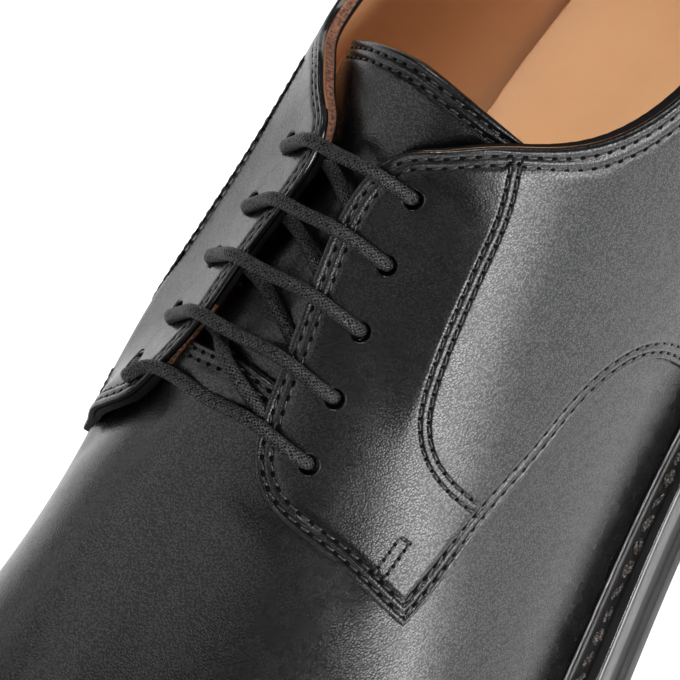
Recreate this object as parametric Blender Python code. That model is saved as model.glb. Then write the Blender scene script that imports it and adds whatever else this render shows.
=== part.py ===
"""Plain derby lace-up shoe, left foot, standing on its sole.

Frame: +X towards the toe, +Y towards the wearer's left, which is the outer side of the foot, +Z up.
The origin is on the floor, in the middle of the sole's length and width.
Sizes below are in millimetres and are turned into metres when a mesh is made.
"""
import math

import bmesh
import bpy
import numpy as np

MM = 0.001
GAP = 0.3                 # room between pieces that meet

# Driving sizes
UPPER_LENGTH = 289.0      # heel to toe along the foot, measured at the upper's bottom edge
HEEL_HEIGHT = 24.0        # floor to the underside of the outsole at the seat
SEAT_END = 72.0           # the level seat runs from the back to here
BALL_START = 182.0        # the sole touches the floor from here
BALL_END = 222.0          # and lifts into the toe spring from here
TOE_SPRING = 10.5         # lift of the outsole at the toe
SPRING_RUN = 74.0
OUTSOLE_THICK = 8.0
WELT_THICK = 3.5
INSOLE_RISE = 3.0         # insole's top above the upper's bottom edge
VAMP_WALL = 2.0           # vamp leather and lining
QUARTER_WALL = 2.4        # quarter leather and lining
QUARTER_OUT = 1.2         # how far the quarters stand proud of the vamp
TONGUE_WALL = 2.0
LACE_WIDTH = 2.3
COLLAR_RISE = 67.0        # height of the back of the collar above the upper's bottom edge
BACK_BULGE = 3.0          # roundness of the heel's back curve
BACK_LEAN = 4.0           # how far the collar leans in at the back
BACK_FADE = 60.0          # the back curve dies out this far forward

# One row for each section of the foot, from heel to toe.
# station: share of the length.  centre, half: middle and half width of the bottom edge.
# ridge, top: place across and height above the floor of the highest line.
# out_lat, out_med: swell of the side walls.  upright: share of the height over which the wall stands.
# full: how broad the top is, as a share of half.
SECTION = ("station", "centre", "half", "ridge", "top", "out_lat", "out_med", "upright", "full")
SECTIONS = (
    (0.000,  0.0,  0.0,  0.0, 138.6, 3.0,  3.0, 0.38, 0.75),
    (0.035,  0.0, 22.3,  0.0, 140.0, 5.0,  5.0, 0.38, 0.75),
    (0.090,  0.0, 29.7,  0.0, 140.5, 7.0,  7.0, 0.38, 0.75),
    (0.160,  0.3, 32.3,  0.0, 140.5, 8.0,  8.0, 0.38, 0.75),
    (0.250,  0.8, 31.5,  0.2, 139.5, 9.0, 10.5, 0.38, 0.72),
    (0.350,  1.9, 30.9,  0.6, 127.0, 8.5, 19.5, 0.39, 0.67),
    (0.450,  3.3, 32.5,  0.4, 107.3, 7.0, 26.5, 0.42, 0.62),
    (0.550,  4.2, 36.8, -2.4,  89.0, 6.0, 25.5, 0.46, 0.55),
    (0.640,  4.3, 41.1, -6.4,  72.0, 6.0, 11.5, 0.52, 0.52),
    (0.710,  2.3, 44.3, -7.4,  60.6, 6.0,  4.0, 0.57, 0.52),
    (0.780, -0.5, 45.0, -7.0,  51.8, 6.0,  3.0, 0.60, 0.53),
    (0.850, -3.3, 41.7, -6.6,  45.4, 5.5,  5.0, 0.62, 0.56),
    (0.910, -5.5, 35.0, -7.3,  41.6, 4.5,  4.5, 0.62, 0.58),
    (0.960, -8.0, 24.7, -8.4,  37.5, 3.5,  3.5, 0.61, 0.60),
    (1.000, -9.0,  0.0, -9.0,  21.8, 2.0,  2.0, 0.60, 0.60),
)

# How far the sole's edge stands out from the upper's bottom edge, along the length.
WELT_REACH = ((0, 4.0), (60, 4.0), (120, 5.3), (180, 6.8), (240, 6.8), (289, 6.8))

# Edges of the pieces on the foot's surface.  along: distance from the heel.
# share: way round the section, 0 at the bottom edge and 1 at the ridge, on either side.
EDGE = ("along", "share")
COLLAR_LAT = ((0, .51), (20, .50), (45, .46), (70, .44), (91, .46), (103, .525), (112, .62), (120, .745),
              (125, .83), (129, .91), (134, .955), (142, .965), (151, .94), (160, .91), (169, .88),
              (174.5, .845), (177, .79))
COLLAR_MED = ((0, .51), (20, .50), (45, .465), (70, .45), (91, .475), (103, .53), (112, .60), (120, .72),
              (125, .79), (129, .85), (134, .88), (142, .865), (151, .835), (160, .82), (169, .80),
              (173.5, .765), (176, .70))
QUARTER_LOW = ((0, 0), (30, 0), (60, 0), (88, 0), (102, 0), (112, .17), (120, .27), (130, .33), (142, .37),
               (156, .415), (168, .44), (177, .46))
VAMP_REAR = ((88, 0), (95, .12), (104, .26), (114, .36), (127, .43), (141, .48), (152, .54), (160, .66),
             (163.5, .80), (164, 1.0))
TONGUE_TOP = 118.3        # the tongue's upper end at its middle
TONGUE_ROUND = 5.0        # its corners lie this far behind the middle
TONGUE_FOOT = 175.0       # its lower end, under the vamp
TONGUE_SHARE = ((.585, .64), (.76, .76))  # outer and inner edge, at the upper and lower end
TONGUE_SINK = 1.6         # behind the vamp the tongue lies deeper, which leaves room for the crossing lace
SINK_RUN = 20.0           # it comes up to the vamp over this length

# Lace bars: first bar's place along the foot, pitch, throat middle and half spread of the eyelets.
BAR_FIRST = 132.6
BAR_PITCH = 9.2
BAR_COUNT = 5
THROAT_MID = (-2.6, -6.3)     # y of the throat's middle at the first and the last bar
EYELET_HALF = (13.6, 19.4)    # half spread of the eyelets at the first and the last bar

# Mesh steps
SIDE_STEPS = 44
VAMP_STEPS = (30, 24)
QUARTER_STEPS = (38, 9)


def column(name):
    index = SECTION.index(name)
    return np.array([row[index] for row in SECTIONS])


def natural_spline(knots, values):
    """A smooth curve through the values, returned as a function."""
    x = np.asarray(knots, float)
    y = np.asarray(values, float)
    n = len(x)
    h = np.diff(x)
    system = np.eye(n)
    right = np.zeros(n)
    for i in range(1, n - 1):
        system[i, i - 1:i + 2] = h[i - 1], 2 * (h[i - 1] + h[i]), h[i]
        right[i] = 6 * ((y[i + 1] - y[i]) / h[i] - (y[i] - y[i - 1]) / h[i - 1])
    bend = np.linalg.solve(system, right)

    def curve(at):
        at = np.asarray(at, float)
        i = np.clip(np.searchsorted(x, at) - 1, 0, n - 2)
        a = (x[i + 1] - at) / h[i]
        b = (at - x[i]) / h[i]
        return a * y[i] + b * y[i + 1] + ((a ** 3 - a) * bend[i] + (b ** 3 - b) * bend[i + 1]) * h[i] ** 2 / 6
    return curve


def angle_of(along):
    """Distance from the heel as an angle, 0 at the heel and pi at the toe, which rounds both ends."""
    return np.arccos(np.clip(1 - 2 * np.asarray(along, float) / UPPER_LENGTH, -1, 1))


KNOTS = np.arccos(1 - 2 * column("station"))
CURVES = {name: natural_spline(KNOTS, column(name)) for name in SECTION[1:]}


def sole_under(along):
    """Height of the outsole's underside: seat, arch, ball and toe spring."""
    along = np.asarray(along, float)
    k = np.clip((along - SEAT_END) / (BALL_START - SEAT_END), 0, 1)
    arch = HEEL_HEIGHT * (1 - k * k * (3 - 2 * k))
    return arch + TOE_SPRING * np.clip((along - BALL_END) / SPRING_RUN, 0, None) ** 2


def outsole_top(along):
    return sole_under(along) + OUTSOLE_THICK


def welt_top(along):
    return outsole_top(along) + GAP + WELT_THICK


def bottom_edge(along):
    return welt_top(along) + GAP


def foot(angle, way):
    """A point of the upper's outer form.  way: 0 outer bottom edge, 1 ridge, 2 inner bottom edge."""
    angle, way = np.broadcast_arrays(np.asarray(angle, float), np.asarray(way, float))
    s = {name: curve(angle) for name, curve in CURVES.items()}
    along = UPPER_LENGTH * (1 - np.cos(angle)) / 2
    half = np.maximum(s["half"], 0)
    low = bottom_edge(along)
    side = np.where(way <= 1, 1.0, -1.0)
    t = np.where(way <= 1, way, 2 - way)
    height = s["top"] - low
    swell = np.where(side > 0, s["out_lat"], s["out_med"]) * np.clip(half / 15, 0, 1)
    y0 = s["centre"] + side * half
    y1 = y0 + side * swell
    y2 = s["ridge"] + side * s["full"] * half
    b0, b1, b2, b3 = (1 - t) ** 3, 3 * t * (1 - t) ** 2, 3 * t * t * (1 - t), t ** 3
    y = b0 * y0 + b1 * y1 + b2 * y2 + b3 * s["ridge"]
    rise = height * (b1 * s["upright"] + b2 + b3)
    rise = np.where(angle > math.pi - 1e-6, 0.0, rise)       # the toe ends in one point
    r = rise / COLLAR_RISE
    back = (BACK_LEAN * r * r - BACK_BULGE * 4 * r * (1 - r)) * np.clip(1 - along / BACK_FADE, 0, 1) ** 2
    return np.stack([along + back, y, low + rise], -1)


def outward(angle, way, step=1e-4):
    """Unit direction out of the foot, never pointing down, so bottom edges stay level."""
    angle, way = np.broadcast_arrays(np.asarray(angle, float), np.asarray(way, float))
    inner = np.clip(angle, step, math.pi - step)
    across = np.clip(way, step, 2 - step)
    run = foot(inner + step, way) - foot(inner - step, way)
    girth = foot(inner, across + step) - foot(inner, across - step)
    n = np.cross(girth, run)
    n[..., 2] = np.maximum(n[..., 2], 0)
    n /= np.linalg.norm(n, axis=-1, keepdims=True)
    n[angle > math.pi - 1e-6] = (1, 0, 0)
    n[angle < 1e-6] = (-1, 0, 0)
    return n


def shell_point(angle, way, out):
    return foot(angle, way) + outward(angle, way) * out


def sole_loop(reach):
    """Points round the foot's bottom edge moved out by reach, heel to toe outside, then back inside."""
    turn = np.linspace(0, math.pi, SIDE_STEPS + 1)
    along = UPPER_LENGTH * (1 - np.cos(turn)) / 2
    half = np.maximum(CURVES["half"](turn), 0)
    centre = CURVES["centre"](turn)
    outer = np.stack([along, centre + half], -1)
    inner = np.stack([along, centre - half], -1)
    loop = np.concatenate([outer, inner[-2:0:-1]])
    tangent = np.roll(loop, -1, 0) - np.roll(loop, 1, 0)
    normal = np.stack([-tangent[:, 1], tangent[:, 0]], -1)
    normal /= np.linalg.norm(normal, axis=1)[:, None]
    far = np.interp(loop[:, 0], [row[0] for row in reach], [row[1] for row in reach])
    return loop + normal * far[:, None]


SOLE_LOOP = sole_loop(WELT_REACH)
WALL_IN = ((0, -1.2), (86, -1.2), (96, -2.0), (289, -2.0))     # the upper's inner face at the bottom edge
MIDDLE = (SOLE_LOOP.min(0) + SOLE_LOOP.max(0)) / 2


def to_world(points):
    p = np.asarray(points, float)
    return (p - np.array([MIDDLE[0], MIDDLE[1], 0.0])) * MM


def clear_scene():
    for item in list(bpy.data.objects):
        bpy.data.objects.remove(item, do_unlink=True)


def new_collection(name):
    group = bpy.data.collections.new(name)
    bpy.context.scene.collection.children.link(group)
    return group


def leather(name, colour, roughness):
    mat = bpy.data.materials.new(name)
    mat.use_nodes = True
    shader = mat.node_tree.nodes["Principled BSDF"]
    shader.inputs["Base Color"].default_value = (*colour, 1.0)
    shader.inputs["Roughness"].default_value = roughness
    shader.inputs["Metallic"].default_value = 0.0
    return mat


def solid(name, points, faces, material, group):
    """One closed mesh object from points in millimetres and faces given by point numbers."""
    mesh = bpy.data.meshes.new(name)
    mesh.from_pydata([tuple(p) for p in to_world(points)], [], faces)
    work = bmesh.new()
    work.from_mesh(mesh)
    bmesh.ops.remove_doubles(work, verts=work.verts, dist=1e-7)
    bmesh.ops.dissolve_degenerate(work, edges=work.edges, dist=1e-8)
    bmesh.ops.recalc_face_normals(work, faces=work.faces)
    bmesh.ops.triangulate(work, faces=work.faces)
    work.to_mesh(mesh)
    work.free()
    mesh.materials.append(material)
    item = bpy.data.objects.new(name, mesh)
    group.objects.link(item)
    return item


def sheet_faces(rows, columns):
    """Faces of a two-sided sheet: rows x columns points outside, then as many inside."""
    count = rows * columns

    def at(layer, i, j):
        return layer * count + i * columns + j

    faces = []
    for i in range(rows - 1):
        for j in range(columns - 1):
            faces.append((at(0, i, j), at(0, i, j + 1), at(0, i + 1, j + 1), at(0, i + 1, j)))
            faces.append((at(1, i, j), at(1, i + 1, j), at(1, i + 1, j + 1), at(1, i, j + 1)))
    rim = [(0, j) for j in range(columns)] + [(i, columns - 1) for i in range(1, rows)]
    rim += [(rows - 1, j) for j in range(columns - 2, -1, -1)] + [(i, 0) for i in range(rows - 2, 0, -1)]
    for (i, j), (k, m) in zip(rim, rim[1:] + rim[:1]):
        faces.append((at(0, i, j), at(1, i, j), at(1, k, m), at(0, k, m)))
    return faces


def sheet(name, angle, way, outer, inner, material, group):
    """A curved sheet between two offsets of the foot's form, over a grid of angles and ways."""
    points = np.concatenate([shell_point(angle, way, outer).reshape(-1, 3),
                             shell_point(angle, way, inner).reshape(-1, 3)])
    return solid(name, points, sheet_faces(*angle.shape), material, group)


def even_edge(rows, count):
    """Points spread evenly along an edge given by a few (along, share) rows, as angles and shares."""
    turn = angle_of([row[0] for row in rows])
    share = np.array([row[1] for row in rows], float)
    steps = np.linalg.norm(np.diff(foot(turn, share), axis=0), axis=1)
    run = np.concatenate([[0], np.cumsum(steps)])
    want = np.linspace(0, run[-1], count)
    return natural_spline(run, turn)(want), np.clip(natural_spline(run, share)(want), 0, 1)


def quarters(group, material):
    """Both quarters as one strip from the outer tab round the heel to the inner tab."""
    count, across = QUARTER_STEPS
    strips = []
    for top_rows, inside in ((COLLAR_LAT, False), (COLLAR_MED, True)):
        top = even_edge(top_rows, count)
        low = even_edge(QUARTER_LOW, count)
        mix = np.linspace(0, 1, across)
        turn = low[0][:, None] * (1 - mix) + top[0][:, None] * mix
        share = low[1][:, None] * (1 - mix) + top[1][:, None] * mix
        strips.append((turn, 2 - share if inside else share))
    (turn_l, way_l), (turn_m, way_m) = strips
    turn = np.concatenate([turn_l[::-1], turn_m[1:]])
    way = np.concatenate([way_l[::-1], way_m[1:]])
    return sheet("upper", turn, way, QUARTER_OUT, QUARTER_OUT - QUARTER_WALL, material, group)


def vamp(group, material):
    """The vamp from its rear edge, which lies under the quarters, to the toe."""
    around, run = VAMP_STEPS
    lift = 0.006                       # keeps the lap's bottom edge inside the quarter's wall
    share = np.linspace(0, 1, around // 2 + 1)
    rear = natural_spline([row[1] for row in VAMP_REAR], angle_of([row[0] for row in VAMP_REAR]))(share)
    way = np.concatenate([share, 2 - share[-2::-1]])
    start = np.concatenate([rear, rear[-2::-1]])
    mix = np.linspace(0, 1, run)
    turn = start[:, None] * (1 - mix) + math.pi * mix
    along = UPPER_LENGTH * (1 - np.cos(turn)) / 2
    raised = lift * np.clip((108 - along) / 4, 0, 1)
    ways = np.clip(way[:, None], raised, 2 - raised)
    return sheet("vamp_form", turn, ways, 0.0, -VAMP_WALL, material, group)


def upper(group, helpers, material):
    """One hollow solid: the quarters with the vamp joined to them."""
    body = quarters(group, material)
    front = vamp(helpers, material)
    front.hide_render = True
    front.display_type = "WIRE"
    join = body.modifiers.new("join_vamp", "BOOLEAN")
    join.operation = "UNION"
    join.solver = "EXACT"
    join.object = front
    return body


def tongue(group, material):
    rows, columns = 22, 17
    down = np.linspace(0, 1, rows)[:, None]
    across = np.linspace(0, 1, columns)[None, :]
    (top_lat, top_med), (low_lat, low_med) = TONGUE_SHARE
    lat = top_lat * (1 - down) + low_lat * down
    med = 2 - (top_med * (1 - down) + low_med * down)
    way = lat * (1 - across) + med * across
    start = TONGUE_TOP - TONGUE_ROUND * (2 * across - 1) ** 2
    along = start * (1 - down) + TONGUE_FOOT * down
    sink = TONGUE_SINK * np.clip((VAMP_REAR[-1][0] - along) / SINK_RUN, 0, 1)
    outer = (-VAMP_WALL - GAP - sink)[..., None]
    return sheet("tongue", angle_of(along), way, outer, outer - TONGUE_WALL, material, group)


def slab(name, loop, low, high, material, group):
    """A plate over a closed outline, between two heights that follow the length."""
    count = len(loop)
    half = count // 2
    under = np.column_stack([loop, low(loop[:, 0])])
    over = np.column_stack([loop, high(loop[:, 0])])
    faces = []
    for i in range(half):
        a, b = i, i + 1
        c, d = (count - i - 1) % count, (count - i) % count
        lower = [a, d, c, b] if i else [a, c, b]
        lower = list(dict.fromkeys(lower))
        faces.append(tuple(lower))
        faces.append(tuple(count + k for k in reversed(lower)))
    for i in range(count):
        j = (i + 1) % count
        faces.append((i, j, count + j, count + i))
    return solid(name, np.concatenate([under, over]), faces, material, group)


def welt(group, material):
    """A strip all round, from the sole's edge in to the upper's inner face."""
    inner = sole_loop(WALL_IN)
    count = len(SOLE_LOOP)
    layers = []
    for loop, level in ((SOLE_LOOP, outsole_top), (SOLE_LOOP, welt_top), (inner, welt_top), (inner, outsole_top)):
        lift = GAP if level is outsole_top else 0.0
        layers.append(np.column_stack([loop, level(loop[:, 0]) + lift]))
    faces = []
    for ring in range(4):
        nxt = (ring + 1) % 4
        for i in range(count):
            j = (i + 1) % count
            faces.append((ring * count + i, ring * count + j, nxt * count + j, nxt * count + i))
    return solid("welt", np.concatenate(layers), faces, material, group)


def heel(group, material):
    """Heel block under the seat, drawn in a little at the floor, with a hollowed front face."""
    breast, hollow, taper = 70.0, 3.0, 2.5
    count = len(SOLE_LOOP)
    keep = [i for i in range(count) if SOLE_LOOP[i, 0] < breast - 2]
    order = [i for i in keep if i > count // 2] + [i for i in keep if i <= count // 2]
    back = SOLE_LOOP[order]
    ends = [np.interp(breast, SOLE_LOOP[:count // 2 + 1, 0], SOLE_LOOP[:count // 2 + 1, 1]),
            -np.interp(breast, SOLE_LOOP[:count // 2:-1, 0], -SOLE_LOOP[:count // 2:-1, 1])]
    front = [(breast - hollow * math.sin(math.pi * k / 8), ends[0] + (ends[1] - ends[0]) * k / 8) for k in range(9)]
    top = np.concatenate([back, front])
    middle = np.array([SEAT_END / 2, 0.0])
    foot_print = middle + (top - middle) * (1 - taper / (SEAT_END / 2))
    n = len(top)
    points = np.concatenate([np.column_stack([foot_print, np.zeros(n)]),
                             np.column_stack([top, np.full(n, HEEL_HEIGHT - GAP)])])
    faces = [tuple(range(n))[::-1], tuple(range(n, 2 * n))]
    faces += [(i, (i + 1) % n, n + (i + 1) % n, n + i) for i in range(n)]
    return solid("heel", points, faces, material, group)


def lace_bar(number, group, material):
    """One straight bar of the lace, lying over both facings from eyelet to eyelet."""
    k = number / (BAR_COUNT - 1)
    turn = float(angle_of(BAR_FIRST + BAR_PITCH * number))
    middle = THROAT_MID[0] * (1 - k) + THROAT_MID[1] * k
    spread = EYELET_HALF[0] * (1 - k) + EYELET_HALF[1] * k
    way = np.linspace(0.5, 1.5, 200)
    high = QUARTER_OUT + GAP + 0.2 + LACE_WIDTH / 2
    line = shell_point(np.full(way.shape, turn), way, high)
    want = np.linspace(middle + spread, middle - spread, 12)
    path = np.column_stack([np.interp(-want, -line[:, 1], line[:, i]) for i in range(3)])
    sides = 8
    points = []
    for i, p in enumerate(path):
        t = path[min(i + 1, 11)] - path[max(i - 1, 0)]
        t /= np.linalg.norm(t)
        u = np.array([1.0, 0.0, 0.0]) - t * t[0]
        u /= np.linalg.norm(u)
        w = np.cross(t, u)
        for s in range(sides):
            a = 2 * math.pi * s / sides
            points.append(p + (u * math.cos(a) + w * math.sin(a)) * LACE_WIDTH / 2)
    faces = [tuple(range(sides)), tuple(range(11 * sides, 12 * sides))[::-1]]
    for i in range(11):
        for s in range(sides):
            n = (s + 1) % sides
            faces.append((i * sides + s, (i + 1) * sides + s, (i + 1) * sides + n, i * sides + n))
    return solid("lace_bar_%d" % (number + 1), np.array(points), faces, material, group)


def main():
    clear_scene()
    shoe = new_collection("derby_shoe")
    helpers = new_collection("forms")
    black = leather("black_calf", (0.012, 0.012, 0.013), 0.35)
    edge = leather("black_edge", (0.03, 0.03, 0.032), 0.45)
    rubber = leather("sole_edge", (0.05, 0.05, 0.052), 0.5)
    tan = leather("tan_lining", (0.50, 0.30, 0.17), 0.6)
    cotton = leather("waxed_cotton", (0.025, 0.025, 0.027), 0.5)

    slab("outsole", SOLE_LOOP, sole_under, outsole_top, rubber, shoe)
    welt(shoe, edge)
    heel(shoe, rubber)
    insole_edge = tuple((row[0], row[1] - GAP - 0.2) for row in WALL_IN)
    slab("insole", sole_loop(insole_edge), lambda x: outsole_top(x) + GAP, lambda x: bottom_edge(x) + INSOLE_RISE,
         tan, shoe)
    upper(shoe, helpers, black)
    tongue(shoe, black)
    for number in range(BAR_COUNT):
        lace_bar(number, shoe, cotton)


main()
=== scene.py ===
"""Looks of the plain derby shoe: leather, lining, stitches, laced cord, welt, sole, heel, camera and light.

Sizes are in millimetres in the maker's frame, which starts at the upper's heel end. They are turned into
metres in the shared frame when a mesh is made.
"""
import math

import bmesh
import bpy
import numpy as np
from mathutils import Matrix, Vector
from mathutils.kdtree import KDTree


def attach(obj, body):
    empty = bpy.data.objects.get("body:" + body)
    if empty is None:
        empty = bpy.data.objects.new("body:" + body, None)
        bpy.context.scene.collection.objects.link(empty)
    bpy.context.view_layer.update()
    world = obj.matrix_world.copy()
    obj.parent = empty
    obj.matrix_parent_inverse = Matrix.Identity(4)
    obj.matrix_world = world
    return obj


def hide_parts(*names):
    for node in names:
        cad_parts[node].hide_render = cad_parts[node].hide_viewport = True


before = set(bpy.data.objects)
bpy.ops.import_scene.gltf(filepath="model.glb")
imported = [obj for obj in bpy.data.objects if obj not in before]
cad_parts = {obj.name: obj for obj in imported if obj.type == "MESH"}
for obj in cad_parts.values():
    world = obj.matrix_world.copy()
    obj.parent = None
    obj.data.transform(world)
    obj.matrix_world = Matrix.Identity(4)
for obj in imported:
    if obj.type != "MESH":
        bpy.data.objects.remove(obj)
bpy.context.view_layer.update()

MM = 0.001
GAP = 0.3

# The foot's form, as in the part's source
UPPER_LENGTH = 289.0
HEEL_HEIGHT = 24.0
SEAT_END = 72.0
BALL_START = 182.0
BALL_END = 222.0
TOE_SPRING = 10.5
SPRING_RUN = 74.0
OUTSOLE_THICK = 8.0
WELT_THICK = 3.5
INSOLE_RISE = 3.0
VAMP_WALL = 2.0
QUARTER_OUT = 1.2
LINING_TOP = -0.1
LINING_WALL = 1.1
COLLAR_RISE = 67.0
BACK_BULGE = 3.0
BACK_LEAN = 4.0
BACK_FADE = 60.0

SECTION = ("station", "centre", "half", "ridge", "top", "out_lat", "out_med", "upright", "full")
SECTIONS = (
    (0.000,  0.0,  0.0,  0.0, 138.6, 3.0,  3.0, 0.38, 0.75),
    (0.035,  0.0, 22.3,  0.0, 140.0, 5.0,  5.0, 0.38, 0.75),
    (0.090,  0.0, 29.7,  0.0, 140.5, 7.0,  7.0, 0.38, 0.75),
    (0.160,  0.3, 32.3,  0.0, 140.5, 8.0,  8.0, 0.38, 0.75),
    (0.250,  0.8, 31.5,  0.2, 139.5, 9.0, 10.5, 0.38, 0.72),
    (0.350,  1.9, 30.9,  0.6, 127.0, 8.5, 19.5, 0.39, 0.67),
    (0.450,  3.3, 32.5,  0.4, 107.3, 7.0, 26.5, 0.42, 0.62),
    (0.550,  4.2, 36.8, -2.4,  89.0, 6.0, 25.5, 0.46, 0.55),
    (0.640,  4.3, 41.1, -6.4,  72.0, 6.0, 11.5, 0.52, 0.52),
    (0.710,  2.3, 44.3, -7.4,  60.6, 6.0,  4.0, 0.57, 0.52),
    (0.780, -0.5, 45.0, -7.0,  51.8, 6.0,  3.0, 0.60, 0.53),
    (0.850, -3.3, 41.7, -6.6,  45.4, 5.5,  5.0, 0.62, 0.56),
    (0.910, -5.5, 35.0, -7.3,  41.6, 4.5,  4.5, 0.62, 0.58),
    (0.960, -8.0, 24.7, -8.4,  37.5, 3.5,  3.5, 0.61, 0.60),
    (1.000, -9.0,  0.0, -9.0,  21.8, 2.0,  2.0, 0.60, 0.60),
)

# Distance from the heel, and how far the welt and the lining lie off the upper's bottom edge
WELT_REACH = ((0, 4.0), (60, 4.0), (120, 5.3), (180, 6.8), (240, 6.8), (289, 6.8))
WALL_IN = ((0, -1.2), (86, -1.2), (96, -2.0), (289, -2.0))

# Edges of the leather pieces: distance from the heel, and share of the girth from bottom edge to ridge
COLLAR_LAT = ((0, .51), (20, .50), (45, .46), (70, .44), (91, .46), (103, .525), (112, .62), (120, .745),
              (125, .83), (129, .91), (134, .955), (142, .965), (151, .94), (160, .91), (168, .883),
              (173.2, .855), (176, .82), (177.5, .775), (177.9, .73))
FRONT_LAT = ((177.5, .66), (177.1, .58), (177.0, .51), (176.5, .455))
COLLAR_MED = ((0, .51), (20, .50), (45, .465), (70, .45), (91, .475), (103, .53), (112, .60), (120, .72),
              (125, .79), (129, .85), (134, .88), (142, .865), (151, .835), (160, .82), (167, .803),
              (171.6, .783), (174.0, .755), (175.3, .71))
FRONT_MED = ((176.0, .65), (176.3, .58), (176.4, .51), (176.5, .455))
FRONT_FROM = 0.775        # the front edge is counted from this share down on the outer side
FRONT_FROM_MED = 0.755
QUARTER_LOW = ((0, 0), (30, 0), (60, 0), (88, 0), (102, 0), (112, .165), (120, .264), (130, .324),
               (142, .364), (156, .409), (168, .434), (176.5, .455))
SEAM_FOOT = 102.0         # the quarter leaves the welt here
VAMP_REAR = ((88, 0), (95, .12), (104, .26), (114, .36), (127, .43), (141, .48), (152, .54), (160, .66),
             (163.5, .80), (164, 1.0))
TONGUE_TOP = 118.3
TONGUE_ROUND = 5.0
TONGUE_FOOT = 175.0
TONGUE_SHARE = ((.585, .64), (.72, .64))
TONGUE_SINK = 1.6
SINK_RUN = 20.0
TONGUE_OUT = -2.3
TONGUE_WALL = 2.3
TONGUE_DROP = 1.2         # the tongue lies this much deeper in the middle of the throat

# Lacing
BAR_FIRST = 132.6
BAR_PITCH = 9.2
BAR_COUNT = 5
THROAT_MID = (-2.6, -6.3)
EYELET_HALF = (13.6, 19.4)
LACE_WIDTH = 2.35
THROAT_SHADE_FROM = 127.0       # the lining is painted black from here on, as the throat's deep shade
RAW_EDGES = ((104, 133), (158, 168))   # where the inner side's cut edge of the lining is raw
HOLE_RADII = {1: 1.6, -1: 2.0}   # outer and inner eyelets
LIP_WIDTH = 0.36
LACE_OVER = QUARTER_OUT + LACE_WIDTH / 2 + 0.05
LACE_UNDER = -2.45
LACE_STEP = 0.36          # distance between the rings of the lace's mesh
VAMP_CLIMB = 3.6          # how far the lace's last crossing climbs to pass over the vamp's rear edge
CLIMB_ALONG = (161.0, 164.5)
# How the lace comes up through an outer eyelet and goes down through an inner one: how far past the hole,
# as a share of the girth, and its height over the sunk leather
LACE_UP = ((0.0, -0.8), (0.008, 0.8), (0.036, LACE_OVER - 0.1))
LACE_DOWN = ((-0.008, LACE_OVER - 0.5), (0.003, 0.55))
# The bars' inner ends, top to bottom: how far the lace leans forward, how far its hole sits behind the bar
# and down the inner side, and by which share of the girth the lace passes the hole
INNER_END = ("fore", "back", "out", "past")
INNER_ENDS = (
    (0.70, 0.20, 2.7, -0.012),
    (1.00, 0.15, 2.7, -0.014),
    (0.00, 0.50, 1.9, 0.000),
    (0.60, 0.80, 2.6, -0.016),
    (1.90, 1.45, 2.2, -0.075),
)

# Sewing
STITCH_PITCH = 2.5
STITCH_LONG = 1.95
STITCH_WIDE = 0.44
HOLE_LONG = 1.05
ROW_NEAR = 1.3
ROW_FAR = 2.8

# The facing's line of stitches, the line to which it is flat, and the bar tack, as the edges above
FACING_LAT = ((118.2, .682), (124, .660), (130.6, .654), (140.2, .646), (148.6, .630), (153.8, .605),
              (156.5, .56), (156.9, .51), (155.7, .437))
FACING_MED = ((117.5, .595), (124, .575), (131, .562), (141, .548), (148.5, .53), (152, .51), (153.6, .485),
              (153.6, .46), (153, .43))
FLAT_LAT = ((118.2, .682), (124, .662), (141, .66), (149.5, .645), (162, .62))
FLAT_MED = ((117.5, .595), (131, .562), (141, .548), (149.5, .53), (162, .51), (178, .49))
TACK_FROM = (174.4, .543)
TACK_TO = (167.4, .533)
TACK_DOWN = 0.045         # the inner side's tack sits this share of the girth lower

# Stitches that differ from those along the edges
FACING_STITCH = {"pitch": 2.3, "long": 1.7, "wide": 0.34, "hole": 0.66}
FACING_STITCH_MED = {"pitch": 2.3, "long": 1.7, "wide": 0.5, "hole": 0.9}
TACK_STITCH = {"pitch": 1.6, "long": 1.5, "wide": 0.6, "hole": 0.85}
KNOT_STITCH = {"pitch": 0.9, "long": 1.3, "wide": 0.7}
WELT_STITCH = {"pitch": 4.1, "long": 2.9, "wide": 0.85, "hole": 0, "wobble": 0.35}

# Shapes that only the looks need
COLLAR_ROLL = 1.45        # the collar's rolled edge and rows are this much wider than the facing's
MIDDLE_ROWS = 34
PANEL_FLAT = 1.15         # how much of the foot's roundness the stiffened facing takes out
VAMP_DIP = (0.7, 1.4)     # the vamp sinks this much in front of the outer and the inner tab
EDGE_LIFT = 0.3           # the quarter's edge stands this much off what lies under it
TAB_RISE = (0.4, 1.6)     # how far the outer and the inner tab's corner stand off the vamp
TAB_SHARE = ((0.62, 0.76), (0.49, 0.63))   # shares of the girth between which they rise
TAB_ALONG = (160, 173)
TAB_HOLLOW = 0.6          # the share of that rise which is hollow underneath
ROW_HALF = 0.75           # half the distance between the two rows of the facing's line
TACK_HALF = 0.95          # and of the bar tack
BRAID_PITCH = 0.74
COLLAR_FADE = (108, 118)  # the collar's edge narrows to the facing's between these distances from the heel
NO_EDGE = 9.0             # a distance at which nothing of an edge shows
EDGE_ROLL = 0.75          # radius of the quarters' edges, of the facings' and of the outer tab's front
FACING_ROLL = 0.4
TAB_ROLL = 0.6
FURROW = 0.3              # depth of the furrow under a stitch row, and what the outer tab adds to it
TAB_FURROW = 0.14

# Height above the welt, and how far the outer wall is drawn in there
WALL_TUCK = ((0, -0.5), (2.5, -0.95), (5, -1.3), (10, -1.75), (20, -1.9), (32, -1.6), (45, -0.95),
             (60, -0.3), (75, 0.0))

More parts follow.
